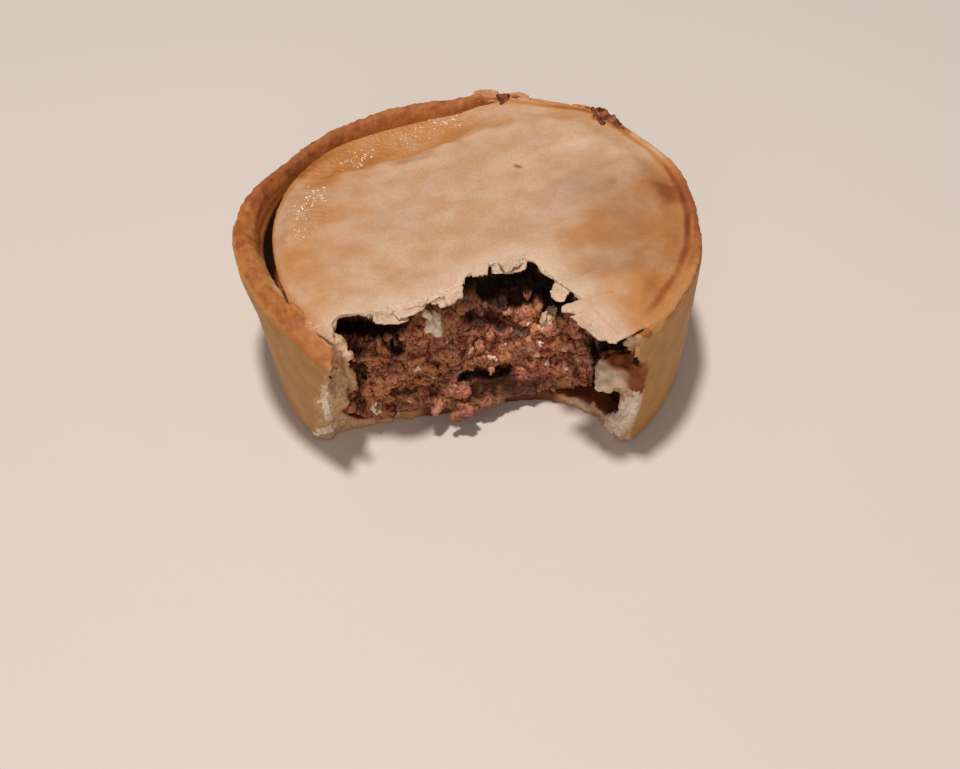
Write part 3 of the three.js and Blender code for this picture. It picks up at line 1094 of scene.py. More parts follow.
@dataclass(frozen=True)
class Flake:
    """A thin torn layer of pastry, held along one row of pixels and ragged along another.

    A pixel lies on the carrier, or at its own height where it has one. A free row without
    heights hangs below the held one by the drop, or lies on the carrier where there is no drop.
    """

    held: tuple[tuple[float, ...], ...]
    free: tuple[tuple[float, ...], ...]
    drop: float | None = 1.0
    sunk: float = 0.35
    thick: float = 0.6
    rough: float = 0.35
    square: float = 9.0
    seed: int = 1

    def rails(self, studio: Studio, *carriers: bpy.types.Object) -> tuple[np.ndarray, np.ndarray]:
        """Finds both rows in space.

        Args:
            studio: Whose camera sees the pixels.
            *carriers: What the flake may be held by.

        Returns:
            The held and the free row in millimetres.
        """
        rows: tuple[list[np.ndarray], list[np.ndarray]] = ([], [])
        for inner, outer in zip(self.held, self.free):
            start = self.spot(studio, inner, *carriers)
            if start is None:
                continue
            lower = outer if self.drop is None or len(outer) > 2 else (*outer, start[2] - self.drop)
            end = self.spot(studio, lower, *carriers)
            if end is not None:
                rows[0].append(start)
                rows[1].append(end)
        return np.array(rows[0]), np.array(rows[1])

    @staticmethod
    def spot(studio: Studio, pixel: tuple[float, ...], *carriers: bpy.types.Object) -> np.ndarray | None:
        """Finds the place of one pixel, at its height or on a carrier."""
        if len(pixel) > 2:
            return studio.at_height(pixel[:2], pixel[2])
        found = studio.nearest(pixel, *carriers)
        return None if found is None else found[0]

    def model(self, studio: Studio, *carriers: bpy.types.Object) -> bpy.types.Object:
        """Models the flake.

        Args:
            studio: Whose camera sees the pixels.
            *carriers: What it may be held by.

        Returns:
            Its mesh object, in place.
        """
        bpy.ops.object.select_all(action="DESELECT")
        bpy.ops.mesh.primitive_grid_add(x_subdivisions=72, y_subdivisions=20, size=2)
        sheet = bpy.context.active_object
        u, v = (Bench.places(sheet)[:, :2] * MM + 1).T / 2
        rows = self.rails(studio, *carriers)
        stops = np.linspace(0, 1, len(rows[0]))
        held, free = [np.column_stack([np.interp(u, stops, axis) for axis in row.T]) for row in rows]
        rough = Relief(self.seed)
        ragged = 1 + min(0.3, self.rough) * rough.fractal(np.column_stack([u * 6, 0 * u, 0 * u]), 4, 0.75)
        ends = np.sqrt(np.clip(self.square * np.minimum(u, 1 - u), 0.05, 1))
        share = v * ends * ragged
        placed = held + share[:, None] * (free - held)
        if self.drop is not None:
            placed[:, 2] = held[:, 2] + smooth(share, 0.3, 1.1) * (free - held)[:, 2]
        placed[:, 2] -= self.sunk * smooth(v, 0.3, 0)
        wave = self.rough * rough.fractal(placed / 1.8, 3) * smooth(v, 0, 0.4)
        Bench.lay(sheet, placed + wave[:, None] * np.array([0.4, 0.4, 1.0]))
        Bench.work(sheet, "SOLIDIFY", thickness=self.thick * MM, offset=0)
        return sheet

    @staticmethod
    def layered(
        flakes: tuple["Flake", ...], name: str, studio: Studio, *carriers: bpy.types.Object
    ) -> bpy.types.Object:
        """Models several flakes as one crumbly piece.

        Args:
            flakes: What is modelled.
            name: The piece's name.
            studio: Whose camera sees their pixels.
            *carriers: What they may be held by.

        Returns:
            The piece.
        """
        bpy.context.view_layer.update()
        piece = Bench.join([flake.model(studio, *carriers) for flake in flakes], name)
        Bench.remesh(piece, 0.2)
        Bench.roughen(piece, 0.9, 0.25)
        Bench.roughen(piece, 0.4, 0.1)
        return piece


@dataclass(frozen=True)
class Crease:
    """The brown line where the lid has baked on to the rim, from the back round to the right horn.

    Its darkness and that of the band outside it are given at angles round the pie.
    """

    line: tuple[Spot, ...] = (
        ring(90, 46.4), ring(80, 46), ring(66, 46.5), ring(59, 47.6), ring(48, 47.4), ring(35, 46.4),
        ring(24, 45.4), ring(15, 45.0), ring(5, 44.6), ring(-10, 43.7), ring(-22, 43.2), ring(-30, 43.0),
        ring(-36, 43.3), ring(-44, 43.6),
    )
    soft: float = 1.3
    glow: float = 8.0
    top: Spot = (31, 33)
    dark: tuple[Spot, ...] = (
        (-45, 0.12), (-34, 0.24), (-24, 0.32), (-12, 0.42), (-5, 0.55), (3, 0.58), (9, 0.46), (17, 0.4),
        (36, 0.42), (44, 0.5), (62, 0.6), (80, 0.4), (92, 0.1),
    )
    band: tuple[Spot, ...] = (
        (-44, 0.1), (-33, 0.04), (-24, 0.14), (-12, 0.32), (0, 0.4), (12, 0.42), (20, 0.24), (32, 0.1),
        (44, 0.06), (58, 0.3), (76, 0.3), (90, 0.1),
    )

    def heat(self, places: np.ndarray) -> np.ndarray:
        """Gives how toasted the line and its surroundings make each place."""
        angle, radius = polar(places)
        rough = Relief(Seed.CREASE).fractal(places / 3, 3)
        away = from_line(places, self.line) + 0.35 * rough
        line = smooth(away, self.soft, 0) * (0.95 + 0.25 * rough)
        ends = smooth(angle, -48, -38) * smooth(angle, 92, 78)
        glow = smooth(away, self.glow, 0) * smooth(angle, -40, -25) * smooth(angle, 36, 18)
        turns, reach = polar(np.array(self.line[::-1]))
        outside = smooth(radius - np.interp(angle, turns, reach), 0.2, 1.4) * ends
        heat = line * ends * round_the_pie(angle, self.dark) + 0.2 * glow * (1 + rough)
        return (heat + outside * round_the_pie(angle, self.band)) * smooth(places[:, 2], *self.top)


@dataclass
class Case:
    """The raised case: pale wall, toasted rim, crumbly breaks at the bite."""

    studio: Studio
    voxel: float = 0.55
    finish: PastryFinish = PastryFinish(
        "baked_case", pale=rgb(196, 144, 80), tan=rgb(182, 131, 68), golden=rgb(194, 124, 64),
        crumb=rgb(214, 176, 134), crumb_shade=rgb(182, 140, 98), relief=0.5,
    )
    rim_top: tuple[Spot, ...] = (
        (-178, 0.62), (-150, 0.58), (-130, 0.52), (-50, 0.45), (-35, 0.42), (-20, 0.45), (-8, 0.52),
        (10, 0.55), (17, 0.42), (24, 0.3), (46, 0.32), (55, 0.5), (70, 0.42), (92, 0.48), (110, 0.52),
        (135, 0.56), (160, 0.58),
    )
    rim_inside: tuple[Spot, ...] = (
        (-178, 0.6), (-168, 0.42), (-150, 0.34), (-135, 0.34), (-50, 0.5), (60, 0.6), (92, 0.58),
        (110, 0.62), (135, 0.7), (150, 0.8), (165, 0.78),
    )
    craggy_from: Spot = (31.6, 33.6)
    toasted_from: Spot = (31.0, 33.0)
    torn_from: Spot = (-15, -19)
    floor_top: Spot = (7, 4.5)
    streaked: Bulge = Bulge(178, 22, 0.3)
    streak_heat: Bulge = Bulge(178, 30, 0.14)
    thickened: Bulge = Bulge(204, 20, 1.7)
    flared: Bulge = Bulge(180, 22, 1.2)
    raised: Bulge = Bulge(108, 26, 1.0)
    ridge: tuple[Mark, ...] = (
        Mark(((316, 324), (327, 332), (338, 343), (350, 360)), 1.3, 1.2),
    )
    fold: Place = (28.6, -29.4, 19.4)
    hole: tuple[Mark, ...] = (Mark(((594, 350), (597, 362), (592, 374)), 1.6, 1.8),)
    slit: tuple[Mark, ...] = (Mark(((316, 390), (318, 402), (320, 416)), 0.4, 0.7),)
    white: tuple[Mark, ...] = (
        Mark(((325, 387), (323, 398), (326, 409), (329, 420)), 0.3, 0.9, 0.7),
        Mark(((313, 433), (323, 430), (333, 428)), 0.5, 1.0, 0.8),
        Mark(((636, 397), (628, 412), (616, 429), (606, 436)), 1.3, 1.4, 1.0),
        Mark(((597, 423), (607, 427)), 0.4, 0.8, 0.8),
        Mark(((600, 384), (607, 374), (616, 386)), 1.6, 2.4, 0.75),
        Mark(((330, 338), (339, 349), (347, 359)), 0.6, 1.4, 0.7),
        Mark(((628, 341), (637, 339)), 0.5, 1.2, 0.4),
        Mark(((264, 262), (271, 277), (280, 293)), 0.8, 1.1, 0.4),
        Mark(((574, 403), (590, 408), (606, 417)), 0.4, 0.8, 0.45),
    )
    brown: tuple[Mark, ...] = (
        Mark(((314, 326), (322, 341), (332, 354), (341, 367)), 0.15, 0.6, 0.6),
        Mark(((315, 387), (317, 395)), 0.8, 0.5, 0.5),
        Mark(((317, 393), (319, 404)), 0.45, 0.5, 0.5),
        Mark(((319, 403), (320, 417)), 0.15, 0.5, 0.5),
        Mark(((616, 359), (630, 360), (639, 370), (637, 388)), 1.3, 2.0, 1.0),
        Mark(((642, 334), (650, 334)), 0.5, 0.9, 0.8),
        Mark(((266, 290), (280, 307), (297, 329), (313, 345), (324, 354)), 1.4, 1.8, 0.68),
        Mark(((262, 240), (274, 262)), 0.8, 1.0, 0.5),
        Mark(((474, 102), (488, 102), (500, 101)), 0.3, 0.8, 0.7),
        Mark(((594, 110), (608, 114), (624, 123), (640, 137)), 0.8, 1.4, 0.8),
    )
    ridges: tuple[Flake, ...] = (
        Flake(
            ((290, 317), (301, 329), (312, 342), (324, 354), (337, 366)),
            ((294, 314, 31.6), (307, 324, 31.2), (323, 331, 31.0), (340, 337, 31.2), (349, 358, 29.8)),
            sunk=0.9, thick=1.5, rough=0.5, square=40, seed=14,
        ),
    )

    def build(self, group: bpy.types.NodeTree) -> bpy.types.Object:
        """Shapes and dresses the case.

        Args:
            group: The shared crumb grain.

        Returns:
            The piece.
        """
        piece = Bench.copy_of("pastry_case", "crust_case")
        bpy.context.view_layer.update()
        Bench.join([piece] + [flake.model(self.studio, piece) for flake in self.ridges], "crust_case")
        Bench.remesh(piece, self.voxel)
        torn = self.torn(piece)
        keep = Bench.weigh(piece, "smooth", 1 - 0.5 * torn)
        Bench.work(piece, "SMOOTH", factor=0.5, iterations=8, vertex_group=keep)
        Bench.roughen(piece, 9, 0.6)
        Bench.roughen(piece, 1.6, 0.12)
        self.crag(piece)
        self.tear(piece, torn)
        hidden = Bench.weigh(piece, "hidden", self.hidden(piece))
        Bench.work(piece, "DECIMATE", ratio=0.7, vertex_group=hidden)
        Bench.paint(piece, self.masks(piece))
        Bench.hand_in(piece, self.finish.material(group), Slot.CASE, "pastry_case")
        return piece

    def torn(self, piece: bpy.types.Object) -> np.ndarray:
        """Finds where the bite tore the wall and the floor.

        Args:
            piece: The case.

        Returns:
            A mask over its points.
        """
        skin = Skin(piece)
        near = smooth(skin.places[:, 1], *self.torn_from)
        side = smooth(np.abs(skin.outward), 0.85, 0.6) * smooth(np.abs(skin.rise), 0.85, 0.6)
        return np.clip(Bench.blur(piece, near * side, 3) * 1.6, 0, 1)

    def layers(self, places: np.ndarray) -> np.ndarray:
        """Gives faint streaks that run round the rim, about -1 to 1."""
        angle, radius = polar(places)
        around = np.column_stack([np.radians(angle) * 47 / 16, radius / 1.1, places[:, 2] / 1.1])
        return Relief(Seed.RIM).at(around)

    def crag(self, piece: bpy.types.Object) -> None:
        """Roughens and thickens the rim, lays faint layers inside it, and flares and raises parts of it."""
        skin = Skin(piece)
        places = skin.places
        rim = smooth(skin.height, *self.craggy_from)
        uneven = 1 + 0.3 * Relief(Seed.RIM_INSIDE).fractal(places / 3, 2)
        inner = smooth(skin.outward, 0.15, -0.35) * (smooth(skin.height, 27.5, 31) * uneven)
        ridge = Mark.strongest(self.ridge, piece, self.studio)
        rough = Relief(Seed.RIM)
        bumps = 0.5 * rough.fractal(places / 2.6, 2) + 0.22 * rough.at(places / 0.9)
        layers = self.layers(places) * inner * self.streaked.over(skin.angle)
        thick = inner * self.thickened.over(skin.angle)
        Bench.raise_by(piece, bumps * np.clip(rim + 1.2 * ridge, 0, 2) + layers + thick)
        places = Bench.places(piece)
        angle, radius = polar(places)
        flare = self.flared.over(angle) * smooth(places[:, 2], 26, 33)
        places[:, :2] *= 1 + (flare / np.maximum(radius, 1))[:, None]
        places[:, 2] += self.raised.over(angle) * smooth(places[:, 2], 29, 34)
        Bench.lay(piece, places)

    def tear(self, piece: bpy.types.Object, torn: np.ndarray) -> None:
        """Breaks the torn faces into soft lumps, swells the left one and opens the slit in its wall.

        Args:
            piece: The case.
            torn: Where it is torn.
        """
        cut = Mark.strongest(self.slit, piece, self.studio)
        hole = Mark.strongest(self.hole, piece, self.studio)
        places = Bench.places(piece)
        rough = Relief(Seed.TEAR)
        lumps = 1.3 * rough.lumps(places / 4.2) + 0.3 * rough.at(places / 1.1)
        fold = smooth(np.linalg.norm(places - np.array(self.fold), axis=1), 7.5, 5.5)
        folds = 1.5 * rough.lumps(places / 4 + 5) + 0.5 * rough.fractal(places / 1.5, 2) - 2.6 * hole
        Bench.raise_by(piece, lumps * torn * (1 - fold) + folds * fold - 1.8 * cut)
        middle = smooth(places[:, 2], 5, 11) * smooth(places[:, 2], 24, 17)
        left = torn * smooth(places[:, 0], -18, -22) * middle
        places = Bench.places(piece)
        places[:, 0] += 1.8 * left
        Bench.lay(piece, places)

    def hidden(self, piece: bpy.types.Object) -> np.ndarray:
        """Finds the inside and the underside, which nobody sees close to."""
        places = Bench.places(piece)
        _, radius = polar(places)
        inner = (radius < 43) & (places[:, 2] < 29) & (places[:, 1] > -14)
        return np.where(inner | (places[:, 2] < 0.3), 1.0, 0.02)

    def masks(self, piece: bpy.types.Object) -> dict[Mask, np.ndarray]:
        """Works out where the case is toasted, torn or pale, and where shade is painted on it: dark on the
        inner wall under the lid, on the floor crust's top and along the foot of the bite.

        Args:
            piece: The case.

        Returns:
            The masks.
        """
        skin = Skin(piece)
        places, z, outward = skin.places, skin.height, skin.outward
        drift = Relief(Seed.CASE_COLOUR)
        wander = drift.fractal(places / 6, 3)
        fine = drift.fractal(places / 1.6 + 9, 2)
        inside = smooth(outward, 0.1, -0.5) * smooth(z, 19, 23)
        rim = smooth(z + wander - 1.2 * smooth(outward, 0.2, 0.9), *self.toasted_from)
        toast = 0.04 + rim * round_the_pie(skin.angle, self.rim_top)
        toast = toast * (1 - inside) + inside * round_the_pie(skin.angle, self.rim_inside)
        toast += (0.08 + 0.12 * rim) * wander + (0.04 + 0.2 * rim) * fine
        toast += self.layers(places) * inside * self.streak_heat.over(skin.angle)
        toast -= 0.22 * rim * smooth(outward, 0.35, 0.8)
        toast += 0.8 * Crease().heat(places)
        # Painted shade: the floor crust's top goes dark brown.
        floor = smooth(skin.rise, 0.4, 0.75) * smooth(z, *self.floor_top) * smooth(skin.radius, 43, 41)
        # Painted shade: the case's inner wall under the lid goes dark brown and near black.
        shade_under_lid = inside * smooth(z + 0.8 * wander, 31.2, 29.2)
        brown = Mark.strongest(self.brown, piece, self.studio)
        ridge = Mark.strongest(self.ridge, piece, self.studio)
        toast = toast * (1 - 0.85 * ridge)
        toast = np.maximum(toast, brown * (0.85 + 0.3 * fine))
        toast = np.maximum(toast, 0.95 * np.maximum(floor, shade_under_lid))
        # Painted shade along the foot of the bite: dark brown low on the front.
        foot_shade = smooth(z, 6, 4) * smooth(places[:, 0], 20, 16) * smooth(places[:, 0], -16, -10)
        foot_shade *= smooth(places[:, 1], -12, -18)
        toast = np.maximum(toast, 1.05 * foot_shade)
        torn = self.torn(piece) * (1 - 0.6 * smooth(z, 24, 31)) * (1 - brown) * (1 - floor) * (1 - foot_shade)
        torn = np.maximum(torn, 0.75 * ridge * (1 - brown))
        white = Mark.strongest(self.white, piece, self.studio)
        return {
            Mask.TOAST: toast,
            Mask.BURN: 0.6 * shade_under_lid,
            Mask.TORN: torn,
            Mask.GREASE: 0.12 * rim,
            Mask.PALE_AND_PAINTED_LIGHT: np.clip(white * (0.7 + 0.6 * fine) * (1 - brown), 0, 0.9),
        }


@dataclass
class Lid:
    """The sunken lid: soft undulations, orange patches, a greasy shelf, a ragged torn edge."""

    studio: Studio
    voxel: float = 0.4
    finish: PastryFinish = PastryFinish(
        "baked_lid", relief=0.6, grain=0.5, fleck=0.55, golden=rgb(200, 137, 79)
    )
    streak: float = 38.0
    swells: Spot = (1.0, 0.35)
    edge: tuple[Spot, ...] = (
        (-27.2, -29.2), (-19.6, -27.6), (-12, -25.6), (-4, -21.4), (-1, -16.4), (4.8, -13.3),
        (9.6, -11.8), (14.3, -16.5), (19, -22.5), (22.4, -28.5), (24.8, -35),
    )
    step: tuple[Spot, ...] = (
        (-40, 19), (-35.6, 19.4), (-31.6, 18.8), (-26.4, 20.2), (-19.6, 26.3), (-14.2, 28.8),
        (-8.8, 29.7), (0, 33), (8, 38),
    )
    ledge: Spot = (-16.5, -3.0)
    welded: Place = (-44, 62, 0.6)
    bead: Place = (1.2, 1.0, 0.7)
    drawn: tuple[Place, ...] = (
        (-152, 0, 0), (-142, 1.2, 0.4), (-118, 1.2, 0.4), (-100, 0, 0), (-46, 0, 0), (-36, 1.3, 0.35),
        (50, 1.5, 0.5), (72, 2.4, 1.2), (88, 2.2, 0.8), (100, 2.6, 1.0), (115, 2.9, 1.2), (135, 2.0, 0.9),
        (150, 1.1, 0.4), (166, 0, 0),
    )
    browned: Bulge = Bulge(180, 40, 0.4)
    crack_shade: Bulge = Bulge(188, 40)
    pale_streak: tuple[Spot, ...] = ((15.5, 25), (25.5, 27.6))
    gloss: Dab = Dab((-35.5, 3), (6, 9), -10, 0.9)
    dots: tuple[Mark, ...] = (
        Mark(((516, 166), (520, 167)), 0.3, 0.6, 0.75),
        Mark(((541, 155), (543, 155)), 0.1, 0.4, 0.6),
        Mark(((400, 307), (425, 302), (445, 296), (459, 292)), 0.05, 0.45, 0.5),
        Mark(((586, 300), (600, 293), (614, 292)), 0.1, 0.6, 0.4),
        Mark(((601, 318), (612, 328), (618, 334)), 0.1, 0.6, 0.35),
        Mark(((596, 117), (610, 122), (626, 131)), 0.5, 1.6, 0.7),
        Mark(((534, 100), (560, 107), (592, 113)), 0.1, 1.0, 0.5),
    )
    patches: tuple[Dab, ...] = (
        Dab((-33.2, 16.1), (4.5, 3), 20, 0.3),
        Dab((-16.2, 23.2), (1.8, 3.8), -20, 0.34),
        Dab((41.5, 9), (3.5, 5), 0, 0.3),
        Dab((38.5, 12), (5, 3), -20, 0.24),
        Dab((34, -22), (4, 8), 25, 0.36),
        Dab((38.8, -5.3), (3.5, 9), 10, 0.18),
        Dab((31.4, -29.8), (4, 5), 0, 0.3),
        Dab((22, -4), (7, 6), 40, 0.24),
        Dab((24, 37), (9, 3), -30, 0.2),
        Dab((-36, -14), (4, 9), 20, 0.16),
        Dab((-30, -27), (5, 4), 0, 0.2),
        Dab((33, 0), (10, 16), 5, 0.28),
        Dab((25, -24), (7, 9), 0, 0.16),
        Dab((-31, 0), (11, 22), 0, 0.24),
    )
    cool: tuple[Dab, ...] = (
        Dab((18, 10), (16, 4), 57, 0.4),
        Dab((31, 1), (6, 4), 20, 0.2),
        Dab((27, -13), (6, 3.5), 50, 0.2),
        Dab((-20, -2), (9, 4), 38, 0.25),
        Dab((-6, 14), (12, 3), 38, 0.2),
        Dab((12, 30), (5, 3), 0, 0.25),
    )
    flakes: tuple[Flake, ...] = (
        Flake(
            ((489, 270), (497, 262), (507, 256), (517, 253), (527, 251)),
            ((494, 281), (503, 275), (513, 269), (522, 264), (530, 260)), 1.6, seed=2,
        ),
        Flake(((468, 268), (478, 264), (488, 263)), ((471, 278), (480, 276), (490, 274)), 0.9, seed=3),
        Flake(
            ((442, 292), (450, 290), (457, 288)), ((445, 305), (451, 305), (458, 300)),
            1.3, thick=0.8, seed=4,
        ),
        Flake(((454, 288), (461, 285), (467, 281)), ((458, 299), (464, 297), (470, 291)), 1.0, seed=5),
        Flake(
            ((386, 306), (400, 302), (413, 299), (429, 296)),
            ((391, 316), (401, 319), (414, 316), (428, 308)),
            1.4, thick=0.5, seed=6,
        ),
        Flake(
            (
                (590, 295), (593, 301), (596, 306), (599, 311), (602, 316), (605, 322), (608, 328),
                (611, 334), (614, 339),
            ),
            (
                (584, 299), (572, 304), (559, 307), (562, 312), (580, 315), (573, 318), (577, 324),
                (588, 331), (602, 344),
            ),
            1.1, rough=0.3, square=40, seed=7,
        ),
    )

    def build(self, group: bpy.types.NodeTree) -> bpy.types.Object:
        """Shapes and dresses the lid.

        Args:
            group: The shared crumb grain.

        Returns:
            The piece.
        """
        piece = Bench.copy_of("pastry_lid", "crust_lid")
        Bench.remesh(piece, self.voxel)
        keep = Bench.weigh(piece, "smooth", 1 - 0.8 * self.torn(piece))
        Bench.work(piece, "SMOOTH", factor=0.5, iterations=10, vertex_group=keep)
        self.bake_on(piece)
        self.swell(piece)
        self.thin(piece)
        self.peel(piece)
        Bench.roughen(piece, 1.5, 0.12)
        ragged = Bench.weigh(piece, "torn", self.torn(piece))
        Bench.roughen(piece, 1.8, 1.0, ragged)
        Bench.roughen(piece, 0.7, 0.5, ragged)
        hidden = Bench.weigh(piece, "hidden", self.hidden(piece))
        Bench.work(piece, "DECIMATE", ratio=0.7, vertex_group=hidden)
        bpy.context.view_layer.update()
        bare = [flake.rails(self.studio, piece)[1] for flake in self.flakes]
        layers = Flake.layered(self.flakes, "lid_flakes", self.studio, piece)
        Bench.join([piece, layers, self.weld(piece)], "crust_lid")
        masks = self.masks(piece)
        places = Bench.places(piece)
        for edge in bare:
            pale = stroke(places, [tuple(spot) for spot in edge], 0.2, 1.2)
            masks[Mask.TORN] = np.maximum(masks[Mask.TORN], 0.7 * pale)
        Bench.paint(piece, masks)
        Bench.hand_in(piece, self.finish.material(group), Slot.LID, "pastry_lid")
        return piece

    def weld(self, piece: bpy.types.Object) -> bpy.types.Object:
        """Models the bead of dough that joins the lid to the rim from the back to the right horn.

        Args:
            piece: The lid.

        Returns:
            The bead.
        """
        places = Bench.places(piece)
        angle, radius = polar(places)
        scatter = Scatter(Seed.WELD, 0.5)
        for turn in np.arange(*self.welded):
            near = np.abs(angle - turn) < 1.2
            edge = places[near & (radius > radius[near].max() - 1.0)]
            at = np.array([*edge[:, :2].mean(axis=0), edge[:, 2].max() - 0.55])
            scatter.add(at, self.bead, scatter.turn(np.array([0, 0, 1.0])))
        bead = scatter.piece("weld")
        Bench.remesh(bead, 0.3)
        Bench.work(bead, "SMOOTH", factor=0.5, iterations=4)
        return bead

    def torn(self, piece: bpy.types.Object) -> np.ndarray:
        """Finds the lid's torn edge."""
        skin = Skin(piece)
        near = smooth(from_line(skin.places, self.edge), 2.2, 1.0)
        side = smooth(skin.rise, 0.8, 0.5)
        return np.clip(Bench.blur(piece, near * side, 2) * 1.4, 0, 1)

    def hidden(self, piece: bpy.types.Object) -> np.ndarray:
        """Finds the underside away from the bite."""
        skin = Skin(piece)
        under = (skin.rise < -0.3) & (from_line(skin.places, self.edge) > 4)
        return np.where(under, 1.0, 0.02)

    def bake_on(self, piece: bpy.types.Object) -> None:
        """Draws the lid's edge out over the rim where the two have baked together."""
        places = Bench.places(piece)
        angle, radius = polar(places)
        sector = np.floor(angle).astype(int) % 360
        reach = np.zeros(360)
        np.maximum.at(reach, sector, radius)
        reach = np.convolve(np.concatenate([reach[-3:], reach, reach[:3]]), np.ones(7) / 7, "valid")
        near = smooth(radius, reach[sector] - 4, reach[sector] - 0.5)
        out, up = [round_the_pie(angle, [(stop[0], stop[i]) for stop in self.drawn]) for i in (1, 2)]
        places[:, :2] *= 1 + (near * out / np.maximum(radius, 1))[:, None]
        places[:, 2] += near * up
        Bench.lay(piece, places)

    def swell(self, piece: bpy.types.Object) -> None:
        """Raises the soft diagonal swells of the lid."""
        places = Bench.places(piece)
        turn = math.radians(self.streak)
        along = places[:, 0] * math.cos(turn) + places[:, 1] * math.sin(turn)
        across = places[:, 1] * math.cos(turn) - places[:, 0] * math.sin(turn)
        relief = Relief(Seed.SWELLS)
        broad = relief.fractal(np.column_stack([along / 26, across / 9, 0 * along]), 2)
        narrow = relief.at(np.column_stack([along / 11, across / 3.6, 0 * along + 5]))
        _, radius = polar(places)
        share = smooth(radius, 43, 37)
        places[:, 2] += (self.swells[0] * broad + self.swells[1] * narrow) * share
        Bench.lay(piece, places)

    def thin(self, piece: bpy.types.Object) -> None:
        """Thins the lid from below towards its torn edge."""
        places = Bench.places(piece)
        cell, half = 0.8, 80
        across, along = np.floor(places[:, :2] / cell).astype(int).T + half
        tops = np.full((2 * half, 2 * half), -np.inf)
        np.maximum.at(tops, (across, along), places[:, 2])
        top = tops[across, along]
        share = 0.38 + 0.62 * smooth(from_line(places, self.edge), 0.5, 8)
        places[:, 2] = top - (top - places[:, 2]) * share
        Bench.lay(piece, places)

    def peel(self, piece: bpy.types.Object) -> None:
        """Lowers a ledge along the tear, where the top layer has come away."""
        places, normals = Bench.places(piece), Bench.facing(piece)
        places[:, 2] -= 0.6 * self.peeled(places) * smooth(normals[:, 2], 0, 0.5)
        Bench.lay(piece, places)

    def peeled(self, places: np.ndarray) -> np.ndarray:
        """Finds where the lid's top layer has come away from its torn edge."""
        wide = 1.3 + 1.1 * Relief(Seed.PEEL).fractal(places / 3, 3)
        close = smooth(wide - from_line(places, self.edge), 0, 0.4)
        start, end = self.ledge
        return close * smooth(places[:, 0], start - 2, start + 1) * smooth(places[:, 0], end + 1, end - 1)

    def masks(self, piece: bpy.types.Object) -> dict[Mask, np.ndarray]:
        """Works out where the lid is toasted, greasy, pale or torn, and where shade is painted on it: down
        the crack at the left and over its right side.

        Args:
            piece: The lid.

        Returns:
            The masks.
        """
        skin = Skin(piece)
        places, angle, radius = skin.places, skin.angle, skin.radius
        drift = Relief(Seed.LID_COLOUR)
        wander = drift.fractal(places / 7, 3)
        fine = drift.fractal(places / 1.6 + 9, 2)
        moved = places + 1.2 * np.column_stack([wander, drift.fractal(places / 7 + 31, 3), 0 * wander])
        toast = 0.06 + 0.09 * wander + 0.06 * fine + sum(patch.over(moved) for patch in self.patches)
        shelf = self.shelf(moved)
        toast += 0.3 * shelf * (1 + 0.5 * wander)
        toast += 0.22 * stroke(moved, self.step, 0.2, 1.3) * smooth(radius, 30, 34)
        toast += smooth(radius, 41.2, 43) * self.browned.over(angle)
        toast += Crease().heat(places)
        toast = np.maximum(toast, Mark.strongest(self.dots, piece, self.studio) * (0.9 + 0.4 * fine))
        # Painted shade down the lid's side in the crack at the left, dark brown and near black.
        crack_shade = smooth(skin.rise, 0.6, 0.2) * smooth(radius, 36, 39) * self.crack_shade.over(angle)
        toast = np.maximum(toast, 0.95 * crack_shade)
        near_edge = from_line(places, self.edge)
        peeled = self.peeled(places)
        bare = np.maximum(self.torn(piece), 0.7 * peeled) * (1 - 0.5 * smooth(places[:, 0], -16, -20))
        # Painted shade over the lid's right side.
        dull = smooth(moved[:, 0], 14, 30) * smooth(moved[:, 1], -24, -13) * smooth(moved[:, 1], 26, 14)
        pale = 0.2 * stroke(moved, self.pale_streak, 0.1, 3.0) + 0.3 * smooth(near_edge, 7, 0.5)
        return {
            Mask.TOAST: toast,
            Mask.BURN: 0.5 * crack_shade,
            Mask.TORN: bare,
            Mask.GREASE: np.clip(0.8 * shelf + self.gloss.over(moved), 0, 0.85),
            Mask.MAUVE: sum(dab.over(moved) for dab in self.cool) * (1 + 0.4 * wander),
            Mask.PALE_AND_PAINTED_LIGHT: pale,
            # Painted shade over the right side, fading towards the rim.
            Mask.TONE_AND_SHADE: dull * smooth(radius, 46, 41) * (0.8 + 0.6 * wander),
        }

    def shelf(self, places: np.ndarray) -> np.ndarray:
        """Finds the low shelf behind the step along the back left."""
        line_x, line_y = np.array(self.step).T
        behind = places[:, 1] - np.interp(places[:, 0], line_x, line_y)
        return smooth(behind, -0.5, 2.5) * smooth(places[:, 0], 8, -4)


@dataclass(frozen=True)
class Grade:
    """One size of crumb: how many, their half sizes, and how deep they are set."""

    count: int
    sizes: Spot
    sunk: float

    def size(self, draw: np.random.Generator) -> float:
        """Draws the half size of one crumb, small ones more often."""
        return self.sizes[0] + (self.sizes[1] - self.sizes[0]) * draw.random() ** 1.5


@dataclass(frozen=True)
class Cleft:
    """Clefts of one width: the rounds of smoothing that bridge them, and the strength of the painted shade
    in them at some depths.
    """

    rounds: int
    dark: float
    depths: Spot


